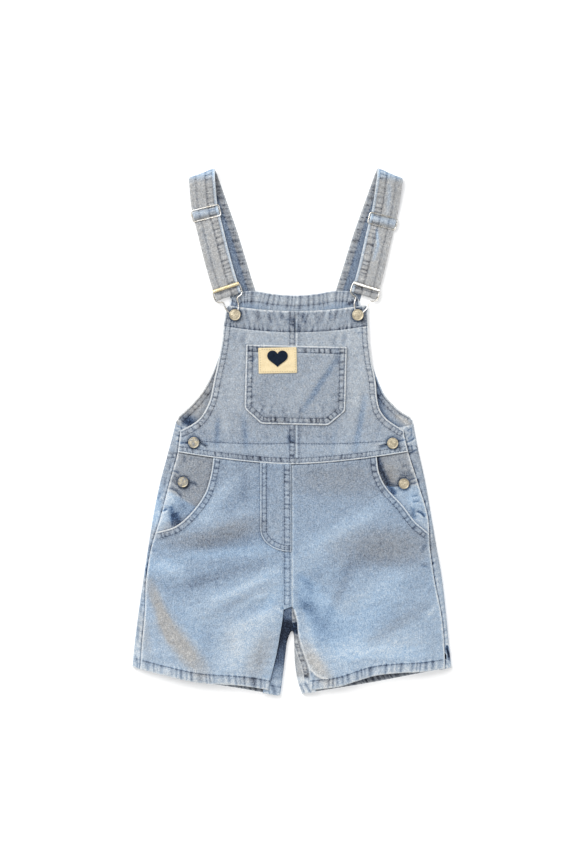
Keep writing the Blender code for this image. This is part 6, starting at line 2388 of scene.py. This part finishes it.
def button_parts(place, cloth_level, foot, seed, size=1.0):
    """A jeans button: a rim round a sunk face with a hammered finish."""
    profile = [(r * size, foot + h) for r, h in BUTTON_PROFILE] + [(BUTTON_POST, 0.0)]
    foot_level = cloth_level(*place) + CLOTH / 2 + SEAM_GAP
    a = np.arange(BUTTON_SIDES) * 2 * math.pi / BUTTON_SIDES
    points, faces = [], []
    for r, h in profile[1:]:
        dent = 0.0
        if r < BUTTON_FACE and h > foot + 1.0:
            dent = 0.12 * np.sin(a * 7 + r * 4 + seed) * np.cos(a * 3 - r * 5 + seed)
        x, y = r * np.cos(a), r * np.sin(a)
        points.append(np.column_stack([x, y, np.full(BUTTON_SIDES, h) + dent]))
    points = np.vstack([*points, [(0, 0, profile[0][1])], [(0, 0, 0)]])
    rings = len(profile) - 1
    top, low = rings * BUTTON_SIDES, rings * BUTTON_SIDES + 1
    for j in range(BUTTON_SIDES):
        k = (j + 1) % BUTTON_SIDES
        faces.append((top, j, k))
        for i in range(rings - 1):
            p, q = i * BUTTON_SIDES, (i + 1) * BUTTON_SIDES
            faces += [(p + j, q + j, q + k), (p + j, q + k, p + k)]
        last = (rings - 1) * BUTTON_SIDES
        faces.append((low, last + k, last + j))
    return points + (*place, float(foot_level)), np.array(faces)


for side in SIDES:
    strap = STRAP[side]
    made = mesh_object("slider_wire_" + side, *joined(slider_parts(strap)), WIRE_METAL)
    declare(made, "slider_" + side)
    made = mesh_object("buckle_wire_" + side, *joined(buckle_parts(strap)), WIRE_METAL)
    declare(made, "buckle_" + side)
    # the left bar gets the painted warm reflection
    look = WARM_REFLECTION_METAL if side == "left" else WIRE_METAL
    declare(mesh_object("buckle_bar_" + side, *bar_parts(strap), look), None)
    place = STRAPS[side]["button"]
    parts = button_parts(place, front_bib_level, BIB_BUTTON_FOOT, OUTWARD[side])
    made = mesh_object("bib_button_cap_" + side, *parts, METAL)
    declare(made, "bib_button_" + side)
for seed, (name, place) in enumerate(SIDE_BUTTONS.items()):
    under, size = front_bib_level, 0.97
    if name.startswith("hip"):
        place, under, size = HIP_BUTTON[name.split("_")[-1]], hip_level, 0.92
    # the buttons on the left get a greyer copy of the metal
    look = DULL_METAL if name.endswith("left") else METAL
    parts = button_parts(place, under, SIDE_BUTTON_FOOT, seed, size)
    made = mesh_object(name + "_cap", *parts, look)
    declare(made, name)


# ------------------------------------------------------------ the studio
CAMERA_X = -4.8
CAMERA_HEIGHT = 2500.0
FRAME_HEIGHT = 1036.8  # how much of the floor's Y the picture shows
SENSOR = 36.0
WHITE = (1.0, 1.0, 1.0, 1.0)
SQUARE = ((-1, -1), (1, -1), (1, 1), (-1, 1))
FLOOR_REACH = 4000
FLOOR_GLOW = 0.26  # keeps the floor close to white where the garment shades it
SKY_LIGHT = 0.42
LAMPS = (
    # name, place, size in metres, power
    ("key", (-1100.0, 1250.0, 2100.0), 1.9, 52.0),
    ("fill", (1300.0, -900.0, 2300.0), 2.2, 15.0),
)


def studio():
    """The floor, the light and the camera, which looks straight down."""
    n = Nodes("pale_floor")
    colour = n.ramp(n.noise(3.0), ((0.3, (247, 247, 247)), (0.7, (250, 250, 250))))
    n.set(Base_Color=colour, Roughness=0.9, Specular_IOR_Level=0.1)
    n.set(Emission_Color=WHITE, Emission_Strength=FLOOR_GLOW)
    corners = [(x * FLOOR_REACH, y * FLOOR_REACH, 0) for x, y in SQUARE]
    mesh_object("floor", corners, [(0, 1, 2, 3)], n.material)
    scene = bpy.context.scene
    scene.view_settings.view_transform = "Standard"
    world = bpy.data.worlds.new("studio")
    world.use_nodes = True
    sky = world.node_tree.nodes["Background"].inputs
    sky["Color"].default_value = WHITE
    sky["Strength"].default_value = SKY_LIGHT
    scene.world = world
    for name, place, size, power in LAMPS:
        lamp = bpy.data.lights.new(name, "AREA")
        lamp.size = size
        lamp.energy = power
        holder = bpy.data.objects.new(name, lamp)
        holder.location = Vector(place) * MM
        holder.rotation_euler = (-Vector(place)).to_track_quat("-Z", "Y").to_euler()
        scene.collection.objects.link(holder)
    lens = bpy.data.cameras.new("camera")
    lens.sensor_width = SENSOR
    lens.lens = SENSOR * CAMERA_HEIGHT / FRAME_HEIGHT
    camera = bpy.data.objects.new("camera", lens)
    camera.location = Vector((CAMERA_X, 0.0, CAMERA_HEIGHT)) * MM
    scene.collection.objects.link(camera)
    scene.camera = camera


studio()
